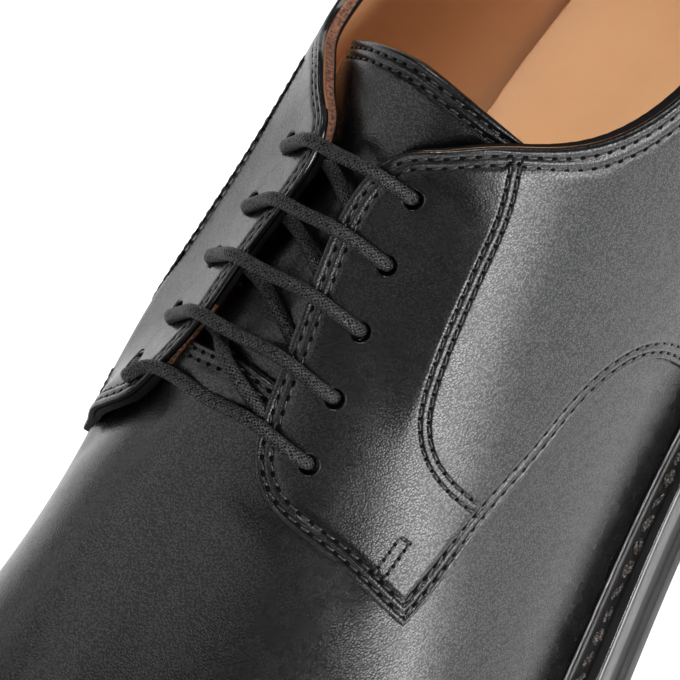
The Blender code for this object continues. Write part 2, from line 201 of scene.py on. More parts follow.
# Where a shape starts, is full, starts to end and has ended, along the shoe or as a share of the girth
TUCK_ALONG = (60, 105, 215, 255)
DIP_SHARE = (0.5, 0.6, 0.8, 0.95)
TROUGH_ALONG = (127, 136, 150, 163)
TROUGH_WAY = (0.94, 1.05, 1.08, 1.2)

# Light: name, place, aim (metres), width, height, power in watts, spread in degrees
WORLD_LIGHT = 0.05
FLOOR_GLOW = 0.27
SOFTBOXES = (
    ("overhead", (-1.2, -0.1, 1.8), (0.0, 0.0, 0.0), 1.6, 1.6, 30.0, 180),
    ("heel_top", (-0.45, 0.1, 1.3), (-0.1, 0.0, 0.03), 0.7, 0.7, 0.75, 18),
    ("outer_side", (-0.12, 1.55, 0.22), (0.0, 0.0, 0.12), 1.6, 0.46, 37.0, 180),
    ("outer_front", (0.57, 1.48, 0.45), (0.0, 0.0, 0.1), 0.42, 0.55, 7.3, 180),
    ("outer_high", (0.9, 0.9, 1.05), (0.0, 0.0, 0.08), 1.0, 0.8, 1.15, 180),
    ("outer_floor", (0.08, 0.88, 1.1), (0.08, 0.22, 0.0), 0.6, 0.2, 1.05, 16),
    ("front_fill", (1.35, -0.55, 1.15), (0.0, 0.0, 0.05), 2.6, 1.6, 21.0, 180),
    ("inner_fill", (0.4, -1.3, 0.42), (0.0, 0.0, 0.08), 1.0, 0.5, 2.1, 180),
)

# Spacing of mesh lines from an edge inwards, fine where the edge turns and the stitches run
EDGE_LINES = (0.0, 0.08, 0.2, 0.38, 0.6, 0.85, 1.08, 1.3, 1.52, 1.78, 2.05, 2.3, 2.58, 2.8, 3.02, 3.3,
              3.7, 4.4)


def column(name):
    index = SECTION.index(name)
    return np.array([row[index] for row in SECTIONS])


def natural_spline(knots, values):
    """A smooth curve through the values, returned as a function."""
    x = np.asarray(knots, float)
    y = np.asarray(values, float)
    n = len(x)
    h = np.diff(x)
    system = np.eye(n)
    right = np.zeros(n)
    for i in range(1, n - 1):
        system[i, i - 1:i + 2] = h[i - 1], 2 * (h[i - 1] + h[i]), h[i]
        right[i] = 6 * ((y[i + 1] - y[i]) / h[i] - (y[i] - y[i - 1]) / h[i - 1])
    bend = np.linalg.solve(system, right)

    def curve(at):
        at = np.asarray(at, float)
        i = np.clip(np.searchsorted(x, at) - 1, 0, n - 2)
        a = (x[i + 1] - at) / h[i]
        b = (at - x[i]) / h[i]
        straight = a * y[i] + b * y[i + 1]
        return straight + ((a ** 3 - a) * bend[i] + (b ** 3 - b) * bend[i + 1]) * h[i] ** 2 / 6
    return curve


def unit(vectors):
    return vectors / np.linalg.norm(vectors, axis=-1, keepdims=True)


def way_of(share, inside):
    """Place across the foot for a share of the outer or the inner side's girth."""
    return 2 - share if inside else share


def share_of(way):
    return np.minimum(way, 2 - way)


def angle_of(along):
    return np.arccos(np.clip(1 - 2 * np.asarray(along, float) / UPPER_LENGTH, -1, 1))


def along_of(angle):
    return UPPER_LENGTH * (1 - np.cos(angle)) / 2


KNOTS = np.arccos(1 - 2 * column("station"))
CURVES = {name: natural_spline(KNOTS, column(name)) for name in SECTION[1:]}
TUCK_CURVE = natural_spline(*zip(*WALL_TUCK))


def sole_under(along):
    along = np.asarray(along, float)
    k = np.clip((along - SEAT_END) / (BALL_START - SEAT_END), 0, 1)
    arch = HEEL_HEIGHT * (1 - k * k * (3 - 2 * k))
    return arch + TOE_SPRING * np.clip((along - BALL_END) / SPRING_RUN, 0, None) ** 2


def outsole_top(along):
    return sole_under(along) + OUTSOLE_THICK


def welt_top(along):
    return outsole_top(along) + GAP + WELT_THICK


def bottom_edge(along):
    return welt_top(along) + GAP


def foot(angle, way):
    """A point of the upper's form.  way: 0 outer bottom edge, 1 ridge, 2 inner bottom edge."""
    angle, way = np.broadcast_arrays(np.asarray(angle, float), np.asarray(way, float))
    s = {name: curve(angle) for name, curve in CURVES.items()}
    along = along_of(angle)
    half = np.maximum(s["half"], 0)
    low = bottom_edge(along)
    side = np.where(way <= 1, 1.0, -1.0)
    t = share_of(way)
    height = s["top"] - low
    swell = np.where(side > 0, s["out_lat"], s["out_med"]) * np.clip(half / 15, 0, 1)
    y0 = s["centre"] + side * half
    y1 = y0 + side * swell
    y2 = s["ridge"] + side * s["full"] * half
    b0, b1, b2, b3 = (1 - t) ** 3, 3 * t * (1 - t) ** 2, 3 * t * t * (1 - t), t ** 3
    y = b0 * y0 + b1 * y1 + b2 * y2 + b3 * s["ridge"]
    rise = height * (b1 * s["upright"] + b2 + b3)
    rise = np.where(angle > math.pi - 1e-6, 0.0, rise)
    r = rise / COLLAR_RISE
    back = (BACK_LEAN * r * r - BACK_BULGE * 4 * r * (1 - r)) * np.clip(1 - along / BACK_FADE, 0, 1) ** 2
    return np.stack([along + back, y, low + rise], -1)


def outward(angle, way, step=1e-4):
    angle, way = np.broadcast_arrays(np.asarray(angle, float), np.asarray(way, float))
    inner = np.clip(angle, step, math.pi - step)
    across = np.clip(way, step, 2 - step)
    run = foot(inner + step, way) - foot(inner - step, way)
    girth = foot(inner, across + step) - foot(inner, across - step)
    n = np.cross(girth, run)
    n[..., 2] = np.maximum(n[..., 2], 0)
    n = unit(n)
    n[angle > math.pi - 1e-6] = (1, 0, 0)
    n[angle < 1e-6] = (-1, 0, 0)
    return n


def shell_point(angle, way, out):
    out = np.asarray(out, float)
    return foot(angle, way) + outward(angle, way) * (out[..., None] if out.ndim else out)


def bottom_loop(steps):
    """Bottom edge of the upper as a closed loop, heel to toe outside and back, with its outward normals."""
    turn = np.linspace(0, math.pi, steps + 1)
    along = along_of(turn)
    half = np.maximum(CURVES["half"](turn), 0)
    centre = CURVES["centre"](turn)
    outer = np.stack([along, centre + half], -1)
    inner = np.stack([along, centre - half], -1)
    loop = np.concatenate([outer, inner[-2:0:-1]])
    tangent = np.roll(loop, -1, 0) - np.roll(loop, 1, 0)
    return loop, unit(np.stack([-tangent[:, 1], tangent[:, 0]], -1))


def by_length(rows, along):
    return np.interp(along, [row[0] for row in rows], [row[1] for row in rows])


def sole_loop(steps, rows, more=0.0):
    loop, normal = bottom_loop(steps)
    return loop + normal * (by_length(rows, loop[:, 0]) + more)[:, None]


def sole_ring(steps, rows, more, level, height):
    """A loop round the sole at a height over one of its levels."""
    loop = sole_loop(steps, rows, more)
    return np.column_stack([loop, level(loop[:, 0]) + height])


CAD_STEPS = 44
EXTENT = sole_loop(CAD_STEPS, WELT_REACH)
MIDDLE = np.append((EXTENT.min(0) + EXTENT.max(0)) / 2, 0.0)


def to_world(points):
    return (np.asarray(points, float) - MIDDLE) * MM


# Materials

def new_material(name, colour, roughness):
    mat = bpy.data.materials.new(name)
    mat.use_nodes = True
    shader = mat.node_tree.nodes["Principled BSDF"]
    shader.inputs["Base Color"].default_value = (*colour, 1.0)
    shader.inputs["Roughness"].default_value = roughness
    return mat, mat.node_tree, shader


def add(tree, kind, **settings):
    """A node whose in_ settings go to its inputs and whose other settings go to the node."""
    node = tree.nodes.new(kind)
    for key, value in settings.items():
        if key.startswith("in_"):
            node.inputs[key[3:].replace("_", " ")].default_value = value
        else:
            setattr(node, key, value)
    return node


def noise(tree, where, scale, detail=2.0):
    node = add(tree, "ShaderNodeTexNoise", in_Scale=scale, in_Detail=detail)
    tree.links.new(where.outputs["Object"], node.inputs["Vector"])
    return node.outputs["Fac"]


def remap(tree, value, low, high, first, last):
    """Maps a value between low and high to first and last."""
    node = add(tree, "ShaderNodeMapRange")
    tree.links.new(value, node.inputs["Value"])
    for key, number in (("From Min", low), ("From Max", high), ("To Min", first), ("To Max", last)):
        node.inputs[key].default_value = number
    return node.outputs["Result"]


def mix_colour(tree, factor, first, last):
    node = add(tree, "ShaderNodeMix", data_type="RGBA")
    tree.links.new(factor, node.inputs["Factor"])
    node.inputs["A"].default_value = (*first, 1.0)
    node.inputs["B"].default_value = (*last, 1.0)
    return node.outputs["Result"]


def arithmetic(tree, operation, *values):
    node = add(tree, "ShaderNodeMath", operation=operation)
    for socket, value in zip(node.inputs, values):
        if isinstance(value, (int, float)):
            socket.default_value = value
        else:
            tree.links.new(value, socket)
    return node.outputs[0]


def bump(tree, shader, height, depth, strength=1.0, under=None):
    """Adds relief of a given depth in metres to a shader, over the relief that is under it."""
    node = add(tree, "ShaderNodeBump", in_Strength=strength, in_Distance=depth)
    tree.links.new(height, node.inputs["Height"])
    if under:
        tree.links.new(under.outputs["Normal"], node.inputs["Normal"])
    tree.links.new(node.outputs["Normal"], shader.inputs["Normal"])
    return node


def calf_leather(name, with_rows=False):
    """Black smooth calf, dulled by fine pores; with_rows adds furrows under the facing's rows."""
    mat, tree, shader = new_material(name, (0.003, 0.003, 0.0033), 0.36)
    where = add(tree, "ShaderNodeTexCoord")
    pores = add(tree, "ShaderNodeTexVoronoi", in_Scale=2800.0, in_Randomness=0.8)
    tree.links.new(where.outputs["Object"], pores.inputs["Vector"])
    relief = bump(tree, shader, noise(tree, where, 60.0), 0.0012, 0.08)
    if with_rows:
        gap = add(tree, "ShaderNodeAttribute", attribute_name="row_gap").outputs["Fac"]
        off = arithmetic(tree, "SUBTRACT", arithmetic(tree, "ABSOLUTE", gap), ROW_HALF)
        square = arithmetic(tree, "POWER", arithmetic(tree, "MULTIPLY", off, 1 / 0.34), 2.0)
        furrow = arithmetic(tree, "EXPONENT", arithmetic(tree, "MULTIPLY", square, -1.0))
        relief = bump(tree, shader, arithmetic(tree, "MULTIPLY", furrow, -1.0), 0.00018, 1.0, relief)
    bump(tree, shader, pores.outputs["Distance"], 0.00009, 0.3, relief)
    patch = noise(tree, where, 240.0, 4.0)
    tree.links.new(remap(tree, patch, 0.3, 0.7, 0.24, 0.30), shader.inputs["Roughness"])
    tree.links.new(mix_colour(tree, patch, (0.0014, 0.0014, 0.0015), (0.0026, 0.0026, 0.0028)),
                   shader.inputs["Base Color"])
    shine = remap(tree, pores.outputs["Distance"], 0.1, 0.6, 0.62, 0.24)
    tree.links.new(shine, shader.inputs["Specular IOR Level"])
    return mat


def tan_leather(name, pale, deep, roughness=0.55):
    """Smooth vegetable tanned leather with a faint grain and cloudy colour."""
    mat, tree, shader = new_material(name, pale, roughness)
    where = add(tree, "ShaderNodeTexCoord")
    cloud = remap(tree, noise(tree, where, 45.0, 5.0), 0.3, 0.7, 0.0, 1.0)
    tree.links.new(mix_colour(tree, cloud, pale, deep), shader.inputs["Base Color"])
    bump(tree, shader, noise(tree, where, 1400.0, 3.0), 0.00008, 0.35)
    shader.inputs["Specular IOR Level"].default_value = 0.35
    return mat


def raw_edge():
    """Cut edge of the lining, fibrous and a little orange."""
    mat, tree, shader = new_material("raw_lining_edge", (0.42, 0.19, 0.10), 0.85)
    where = add(tree, "ShaderNodeTexCoord")
    fibre = noise(tree, where, 1800.0, 4.0)
    share = remap(tree, fibre, 0.35, 0.65, 0.0, 1.0)
    colour = mix_colour(tree, share, (0.025, 0.009, 0.005), (0.21, 0.085, 0.043))
    tree.links.new(colour, shader.inputs["Base Color"])
    bump(tree, shader, fibre, 0.0004, 0.8)
    return mat


def thread(name, dark, pale, roughness, depth, shine=0.3):
    """Twisted or frayed sewing thread."""
    mat, tree, shader = new_material(name, dark, roughness)
    where = add(tree, "ShaderNodeTexCoord")
    twist = noise(tree, where, 3000.0, 3.0)
    bump(tree, shader, twist, depth, 0.8)
    share = remap(tree, twist, 0.45, 0.7, 0.0, 1.0)
    tree.links.new(mix_colour(tree, share, dark, pale), shader.inputs["Base Color"])
    shader.inputs["Specular IOR Level"].default_value = shine
    return mat


def waxed_cord():
    """Round waxed cotton: two sets of strands cross on the tube, wearing unevenly, with pale flecks of wax;
    the gaps between the strands are painted darker and duller as their shade.
    """
    mat, tree, shader = new_material("waxed_cotton_cord", (0.006, 0.006, 0.0063), 0.5)
    where = add(tree, "ShaderNodeTexCoord")
    split = add(tree, "ShaderNodeSeparateXYZ")
    tree.links.new(where.outputs["UV"], split.inputs["Vector"])
    wander = noise(tree, where, 700.0)
    strands = []
    for turns, height in ((10.0, 1.0), (-10.0, 0.6)):
        slant = arithmetic(tree, "MULTIPLY_ADD", split.outputs["Y"], turns, split.outputs["X"])
        phase = arithmetic(tree, "MULTIPLY", arithmetic(tree, "ADD", slant, wander), 2 * math.pi)
        strands.append(arithmetic(tree, "MULTIPLY", arithmetic(tree, "SINE", phase), height))
    weave = arithmetic(tree, "MAXIMUM", *strands)
    fuzz = noise(tree, where, 3200.0)
    first = bump(tree, shader, weave, 0.00008, 0.9)
    bump(tree, shader, fuzz, 0.00025, 0.9, first)
    # random wear and wax flecks, plus painted shade between the strands where the weave is low
    wear_and_gap_shade = arithmetic(tree, "MULTIPLY_ADD", fuzz, 1.4, arithmetic(tree, "MULTIPLY", weave, 0.22))
    flecks_and_gap_shade = remap(tree, wear_and_gap_shade, 0.5, 1.35, 0.0, 1.0)
    colour = mix_colour(tree, flecks_and_gap_shade, (0.0008, 0.0008, 0.0008), (0.034, 0.034, 0.034))
    tree.links.new(colour, shader.inputs["Base Color"])
    tree.links.new(remap(tree, wear_and_gap_shade, 0.5, 1.35, 0.0, 0.65), shader.inputs["Specular IOR Level"])
    return mat


def edge_leather(name, colour, roughness, grain=900.0, shine=0.5):
    """Dressed edges, welt and sole sides: inked and waxed, with fine scratches."""
    mat, tree, shader = new_material(name, colour, roughness)
    where = add(tree, "ShaderNodeTexCoord")
    rub = noise(tree, where, 160.0, 5.0)
    dull = remap(tree, rub, 0.3, 0.7, roughness - 0.06, roughness + 0.08)
    tree.links.new(dull, shader.inputs["Roughness"])
    bump(tree, shader, noise(tree, where, grain, 3.0), 0.0001, 0.4)
    pale = tuple(min(1.0, 1.5 * c + 0.001) for c in colour)
    tree.links.new(mix_colour(tree, rub, colour, pale), shader.inputs["Base Color"])
    shader.inputs["Specular IOR Level"].default_value = shine
    return mat


CALF = calf_leather("black_calf_leather")
CALF_ROWS = calf_leather("black_calf_sewn", True)
LINING = tan_leather("tan_lining_leather", (0.62, 0.355, 0.19), (0.56, 0.31, 0.158))
SOCK = tan_leather("pale_sock_leather", (0.66, 0.37, 0.178), (0.6, 0.33, 0.153))
RAW = raw_edge()
# black edge ink, also painted over the lining in the throat as its deep shade
EDGE_INK_AND_THROAT_SHADE = edge_leather("black_edge_ink_and_throat_shade", (0.002, 0.002, 0.0021), 0.7, shine=0.1)
POLISHED = edge_leather("polished_edge", (0.004, 0.004, 0.0042), 0.14, 500.0)
THREAD = thread("black_thread", (0.002, 0.002, 0.0022), (0.006, 0.006, 0.006), 0.36, 0.0001, 0.45)
# near-black matte colour painted as the shade inside needle holes and eyelet holes
PAINTED_HOLE_SHADE = edge_leather("needle_hole_painted_shade", (0.0006, 0.0006, 0.0006), 0.9, shine=0.05)
WELT_THREAD = thread("welt_thread", (0.006, 0.005, 0.0045), (0.2, 0.17, 0.15), 0.8, 0.0005)
CORD = waxed_cord()
RIDGE = edge_leather("welt_ridge_black", (0.006, 0.006, 0.0063), 0.36)
CHANNEL = edge_leather("welt_channel_black", (0.004, 0.004, 0.0042), 0.7, 1400.0, 0.15)
WELT_SIDE = edge_leather("welt_side_black", (0.025, 0.025, 0.025), 0.42, shine=0.6)
SOLE_MAT = edge_leather("sole_edge_black", (0.008, 0.008, 0.0082), 0.45, shine=0.11)
BAND_MAT = edge_leather("sole_band_dark", (0.008, 0.008, 0.008), 0.5, shine=0.2)
UNDER_MAT = edge_leather("sole_under_rubber", (0.022, 0.022, 0.023), 0.6, 500.0)


# Mesh helpers

def piece(name, points, faces, materials, face_slots=None, nodes=(), sharp=None, uv=None):
    """A mesh object from points in millimetres, riding on the shoe's one body."""
    mesh = bpy.data.meshes.new(name)
    mesh.from_pydata(to_world(points).tolist(), [], faces)
    for mat in materials:
        mesh.materials.append(mat)
    if face_slots is not None:
        mesh.polygons.foreach_set("material_index", face_slots)
    if uv is not None:
        mesh.uv_layers.new(name="UVMap").data.foreach_set("uv", np.asarray(uv, float).ravel())
    work = bmesh.new()
    work.from_mesh(mesh)
    bmesh.ops.remove_doubles(work, verts=work.verts, dist=1e-7)
    bmesh.ops.dissolve_degenerate(work, edges=work.edges, dist=1e-8)
    bmesh.ops.recalc_face_normals(work, faces=work.faces)
    work.to_mesh(mesh)
    work.free()
    mesh.shade_smooth()
    if sharp:
        mesh.set_sharp_from_angle(angle=math.radians(sharp))
    item = bpy.data.objects.new(name, mesh)
    bpy.context.scene.collection.objects.link(item)
    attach(item, "root")
    if nodes:
        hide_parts(*nodes)
    return item


def ring_faces(count, rings, first=0, closed=False):
    """Faces that join each ring of points to the next; closed joins the last to the first as well."""
    faces = []
    for k in range(rings if closed else rings - 1):
        a, b = first + k * count, first + (k + 1) % rings * count
        for i in range(count):
            j = (i + 1) % count
            faces.append((a + i, a + j, b + j, b + i))
    return faces


def solid_faces(count, rings, first=0):
    """Faces of rings of points joined to a form with flat ends."""
    last = first + (rings - 1) * count
    ends = [tuple(range(first, first + count))[::-1], tuple(range(last, last + count))]
    return ring_faces(count, rings, first) + ends


def sheet_faces(rows, columns):
    """Faces of a two-sided sheet, each with its layer (0 outside, 1 inside, 2 rim) and first grid point."""
    count = rows * columns

    def at(layer, i, j):
        return layer * count + i * columns + j

    faces, spots = [], []
    for i in range(rows - 1):
        for j in range(columns - 1):
            faces.append((at(0, i, j), at(0, i, j + 1), at(0, i + 1, j + 1), at(0, i + 1, j)))
            faces.append((at(1, i, j), at(1, i + 1, j), at(1, i + 1, j + 1), at(1, i, j + 1)))
            spots += [(0, i, j), (1, i, j)]
    rim = [(0, j) for j in range(columns)] + [(i, columns - 1) for i in range(1, rows)]
    rim += [(rows - 1, j) for j in range(columns - 2, -1, -1)] + [(i, 0) for i in range(rows - 2, 0, -1)]
    for (i, j), (k, m) in zip(rim, rim[1:] + rim[:1]):
        faces.append((at(0, i, j), at(1, i, j), at(1, k, m), at(0, k, m)))
        spots.append((2, i, j))
    return faces, spots


def sheet(name, angle, way, outer, inner, materials, nodes=(), sharp=50, paint=None):
    """A curved sheet between two offsets of the foot's form; paint picks each face's material."""
    points = np.concatenate([shell_point(angle, way, outer).reshape(-1, 3),
                             shell_point(angle, way, inner).reshape(-1, 3)])
    faces, spots = sheet_faces(*angle.shape)
    slots = [paint(*spot) if paint else spot[0] for spot in spots]
    return piece(name, points, faces, materials, slots, nodes, sharp)


def run_of(points):
    """Distance walked along a line of points."""
    return np.concatenate([[0], np.cumsum(np.linalg.norm(np.diff(points, axis=0), axis=1))])


def edge_curve(rows, count=400):
    """An edge given by (along, share) rows as a dense line of angles, shares and distances walked."""
    turn = angle_of([row[0] for row in rows])
    share = np.array([row[1] for row in rows], float)
    run = run_of(foot(turn, share))
    want = np.linspace(0, run[-1], count)
    turn = natural_spline(run, turn)(want)
    share = np.clip(natural_spline(run, share)(want), 0, 1)
    return turn, share, run_of(foot(turn, share))


def low_edge(count):
    """The quarter's low edge: flat on the welt from the heel, then up along its seam with the vamp."""
    turn, share, _ = edge_curve(QUARTER_LOW, count)
    share = share * smooth(along_of(turn), SEAM_FOOT - 2, SEAM_FOOT + 4)
    return turn, share, run_of(foot(turn, share))


def spaced(total, step):
    """Distances from an edge: the fine lines first, then even steps to the far end."""
    start = EDGE_LINES[-1]
    return np.concatenate([EDGE_LINES, np.linspace(start, total, max(2, int((total - start) / step)))[1:]])


def rounded(distance, radius):
    """How far a surface falls near its edge when the edge is rolled over with a radius."""
    d = np.clip(distance, 0, radius)
    return radius - np.sqrt(np.maximum(radius ** 2 - (radius - d) ** 2, 0))


def groove(distance, place, depth, wide=0.42):
    return depth * np.exp(-((distance - place) / wide) ** 2)


def furrows(distance, depth=FURROW):
    """Depth of the two furrows under a double row, at a distance from the edge."""
    return groove(distance, ROW_NEAR, depth) + groove(distance, ROW_FAR, depth)


def smooth(value, low, high):
    k = np.clip((value - low) / (high - low), 0, 1)
    return k * k * (3 - 2 * k)


def between(value, start, full, ebb, end):
    """Rises from 0 to 1 between start and full, and falls back between ebb and end."""
    return smooth(value, start, full) * (1 - smooth(value, ebb, end))


def edge_width(along, front=1.0):
    """How much wider the collar's edge is than the facing's, fading to a value at the front."""
    return np.interp(along, COLLAR_FADE, (COLLAR_ROLL, front))


# Stitches

class Sewing:
    """Collects stitches, and the dots between them painted with the needle holes' shade, as two meshes."""

    def __init__(self):
        self.thread = ([], [])
        self.pits = ([], [])

    @staticmethod
    def loft(store, rings):
        points, faces = store
        faces.extend(solid_faces(len(rings[0]), len(rings), len(points)))
        for ring in rings:
            points.extend(ring)

    def stitch(self, centre, ahead, up, long, wide, slant=0.12, proud=0.04):
        """One stitch: a small round bar that dives at both ends."""
        side = np.cross(up, ahead)
        line = ahead * math.cos(slant) + side * math.sin(slant)
        across = np.cross(up, line)
        rings = []
        for u, fat in ((-1, .35), (-.78, .8), (-.4, 1), (0, 1), (.4, 1), (.78, .8), (1, .35)):
            middle = centre + line * (u * long / 2) + up * (proud - 0.7 * wide * u ** 4)
            ring = []
            for s in range(6):
                a = math.pi * s / 3
                ring.append(middle + (across * math.cos(a) + up * 0.8 * math.sin(a)) * fat * wide / 2)
            rings.append(ring)
        self.loft(self.thread, rings)

    def pit(self, centre, ahead, up, wide):
        """Where a stitch goes down: a flat dot just above the furrow, painted near-black as the needle
        hole's shade.
        """
        side = np.cross(up, ahead)
        rings = []
        for fat, lift in ((1.0, -0.15), (1.0, 0.07), (0.55, 0.11)):
            ring = []
            for s in range(8):
                a = math.pi * s / 4
                spoke = ahead * math.cos(a) + side * 0.75 * math.sin(a)
                ring.append(centre + up * lift + spoke * fat * wide / 2)
            rings.append(ring)
        self.loft(self.pits, rings)

    def row(self, path, ups, pitch=STITCH_PITCH, long=STITCH_LONG, wide=STITCH_WIDE, hole=HOLE_LONG,
            wobble=0.0):
        """A row of stitches along a line of points with their surface normals; wobble makes them uneven."""
        chance = np.random.default_rng(11)
        run = run_of(path)
        count = max(1, int(round(run[-1] / pitch)))
        step = run[-1] / count
        for k in range(count):
            spots = []
            for at in ((k + 0.5) * step, k * step):
                low = np.array([np.interp(at - 0.3, run, path[:, i]) for i in range(3)])
                high = np.array([np.interp(at + 0.3, run, path[:, i]) for i in range(3)])
                up = unit(np.array([np.interp(at, run, ups[:, i]) for i in range(3)]))
                ahead = high - low
                ahead = unit(ahead - up * (ahead @ up))
                spots.append(((low + high) / 2, ahead, up))
            fat = wide * (1 + wobble * chance.uniform(-1, 1))
            spot, ahead, up = spots[0]
            spot = spot + up * 0.25 * wobble * chance.uniform(-1, 1)
            self.stitch(spot, ahead, up, long * step / pitch, fat, 0.12 + wobble * chance.uniform(-1, 1))
            if hole:
                self.pit(*spots[1], hole)

    def finish(self, name, material):
        piece(name, np.array(self.thread[0]), self.thread[1], (material,))
        if self.pits[0]:
            # the needle holes as dots painted with their shade
            piece(name + "_holes", np.array(self.pits[0]), self.pits[1], (PAINTED_HOLE_SHADE,))


SEAMS = Sewing()


# Quarters

def border(top_rows, front_rows, front_from):
    """A quarter's edge from the heel round its front corner to the tab's foot, and where the corner is."""
    turn, share, run = edge_curve(top_rows + front_rows, 1600)
    split = len(share) - int(np.argmax(share[::-1] > front_from))
    return turn, share, run, split


def nearest(points, line):
    """Distance of each point of a grid from the nearest point of a line."""
    tree = KDTree(len(line))
    for i, spot in enumerate(line):
        tree.insert(spot, i)
    tree.balance()
    return np.array([tree.find(spot)[2] for spot in points.reshape(-1, 3)]).reshape(points.shape[:-1])


def quarter_grid(top, inside):
    """One quarter from its front tab to the heel: angles, ways and distances from its top and low edges."""
    turn, share, run, split = top
    low = low_edge(1600)
    lines = spaced(run[split - 1], 1.0)
    fine_end = EDGE_LINES[-1]
    rest = np.clip((lines - fine_end) / (lines[-1] - fine_end), 0, 1)
    low_lines = np.minimum(lines, fine_end) + rest * (low[2][-1] - fine_end)
    dense = np.linspace(0, 1, 90)
    low_wide, front_wide = 1.6, 1.5
    fine = np.array(EDGE_LINES)
    down = run[-1] - dense * (run[-1] - run[split - 1])
    bow_turn = np.interp(down, run, turn) - (turn[-1] + (turn[split - 1] - turn[-1]) * dense)
    bow_share = np.interp(down, run, share) - (share[-1] + (share[split - 1] - share[-1]) * dense)
    turns, ways = [], []
    for line, low_line in zip(lines, low_lines):
        at_top, at_low = run[split - 1] - line, low[2][-1] - low_line
        a0, t0 = np.interp(at_low, low[2], low[0]), np.interp(at_low, low[2], low[1])
        a1, t1 = np.interp(at_top, run, turn), np.interp(at_top, run, share)
        bow = 1 - smooth(line, 0, 25)
        line_a = a0 + (a1 - a0) * dense + bow * bow_turn
        line_t = t0 + (t1 - t0) * dense + bow * bow_share
        gone = run_of(foot(line_a, way_of(line_t, inside)))
        far = gone[-1] - fine[::-1] * edge_width(along_of(a1), front_wide)
        middle = np.linspace(fine[-1] * low_wide, far[0], MIDDLE_ROWS + 2)[1:-1]
        want = np.concatenate([fine * low_wide, middle, far])
        mix = np.interp(want, gone, dense)
        turns.append(np.interp(mix, dense, line_a))
        ways.append(np.interp(mix, dense, line_t))
    turns, ways = np.array(turns), np.array(ways)
    ways = way_of(ways, inside)
    spots = foot(turns, ways)
    from_top = nearest(spots, foot(turn, way_of(share, inside)))
    from_low = nearest(spots, foot(low[0], way_of(low[1], inside)))
    from_top /= edge_width(along_of(turns))
    return turns, ways, from_top, from_low


def inset(turn, way, distance, step=1e-4):
    """Moves a line sideways over the foot's form by a distance."""
    spot, up = foot(turn, way), outward(turn, way)
    ahead = unit(np.gradient(spot, axis=0))
    want = spot + np.cross(up, ahead) * np.reshape(distance, (-1, 1))
    for _ in range(3):
        run = (foot(turn + step, way) - foot(turn - step, way)) / (2 * step)
        girth = (foot(turn, way + step) - foot(turn, way - step)) / (2 * step)
        gap = want - foot(turn, way)
        rr, rg, gg = (run * run).sum(1), (run * girth).sum(1), (girth * girth).sum(1)
        r, g = (gap * run).sum(1), (gap * girth).sum(1)
        turn = turn + (r * gg - g * rg) / (rr * gg - rg * rg)
        way = way + (g * rr - r * rg) / (rr * gg - rg * rg)
    return turn, way


def eyelets():
    """Eyelets as (angle, way), top to bottom: the outer row under 1 and the inner row under -1."""
    rows = {}
    way = np.linspace(0.4, 1.6, 1200)
    for side in (1, -1):
        spots = []
        for number in range(BAR_COUNT):
            k = number / (BAR_COUNT - 1)
            end = dict(zip(INNER_END, INNER_ENDS[number]))
            turn = float(angle_of(BAR_FIRST + BAR_PITCH * number - (end["back"] if side < 0 else 0)))
            middle = THROAT_MID[0] * (1 - k) + THROAT_MID[1] * k
            away = EYELET_HALF[0] * (1 - k) + EYELET_HALF[1] * k
            y = middle + side * (away + (end["out"] if side < 0 else 0))
            line = shell_point(np.full(way.shape, turn), way, QUARTER_OUT)
            spots.append((turn, float(np.interp(-y, -line[:, 1], way))))
        rows[side] = spots
    return rows


def panel_lift(turn, way):
    """How far the stiff facing sinks below the foot's form: flat from its edge to its line of stitches."""
    turn, way = np.broadcast_arrays(np.asarray(turn, float), np.asarray(way, float))
    along = along_of(turn)
    spot, up = foot(turn, way), outward(turn, way)
    lift = np.zeros(turn.shape)
    for rows, edge_rows, inside, fade in ((FLAT_LAT, COLLAR_LAT, False, (147, 163)),
                                          (FLAT_MED, COLLAR_MED, True, (166, 178))):
        line, edge = by_length(rows, along), by_length(edge_rows, along)
        share = way_of(way, inside)
        e = foot(turn, way_of(edge, inside))
        chord = foot(turn, way_of(line, inside)) - e
        u = np.clip(((spot - e) * chord).sum(-1) / np.maximum((chord * chord).sum(-1), 1e-9), 0, 1)
        sink = np.minimum(((e + u[..., None] * chord - spot) * up).sum(-1), 0)
        here = ((way > 1) == inside) & (share > line) & (share < edge)
        lift = np.where(here, PANEL_FLAT * sink * (1 - smooth(along, *fade)), lift)
    return lift


def tab_rise(turn, way):
    """How far the tabs' corners stand up by the throat."""
    lat, med = (rise * smooth(share_of(way), *span) for rise, span in zip(TAB_RISE, TAB_SHARE))
    return np.where(way > 1, med, lat) * smooth(along_of(turn), *TAB_ALONG)


def wall_tuck(turn, way):
    """How far the outer wall is drawn in above the welt, which it meets with an outward turn."""
    spot = foot(turn, way)
    high = np.clip(spot[..., 2] - bottom_edge(spot[..., 0]), 0, WALL_TUCK[-1][0])
    outer = 1 - smooth(way, 0.85, 1.0)
    return TUCK_CURVE(high) * outer * between(along_of(turn), *TUCK_ALONG)


def leather_lift(turn, way):
    """How far the quarters lie off the foot's form, apart from their edges and stitch rows."""
    return panel_lift(turn, way) + wall_tuck(turn, way) + tab_rise(turn, way)


def leather_normal(turn, way, step=0.01):
    """Normal of the facing's outer surface."""
    def spot(a, w):
        return shell_point(a, w, QUARTER_OUT + leather_lift(a, w))
    run = spot(turn + step, way) - spot(turn - step, way)
    girth = spot(turn, way + step) - spot(turn, way - step)
    return unit(np.cross(girth, run))


def vamp_dip(turn, way):
    """The creases that the tabs press into the vamp."""
    along = along_of(turn)
    across = between(share_of(way), *DIP_SHARE) * smooth(along, 167, 174)
    outer = VAMP_DIP[0] * (1 - smooth(along, 177, 183))
    inner = VAMP_DIP[1] * (1 - smooth(along, 175, 186))
    return -across * np.where(way > 1, inner, outer)


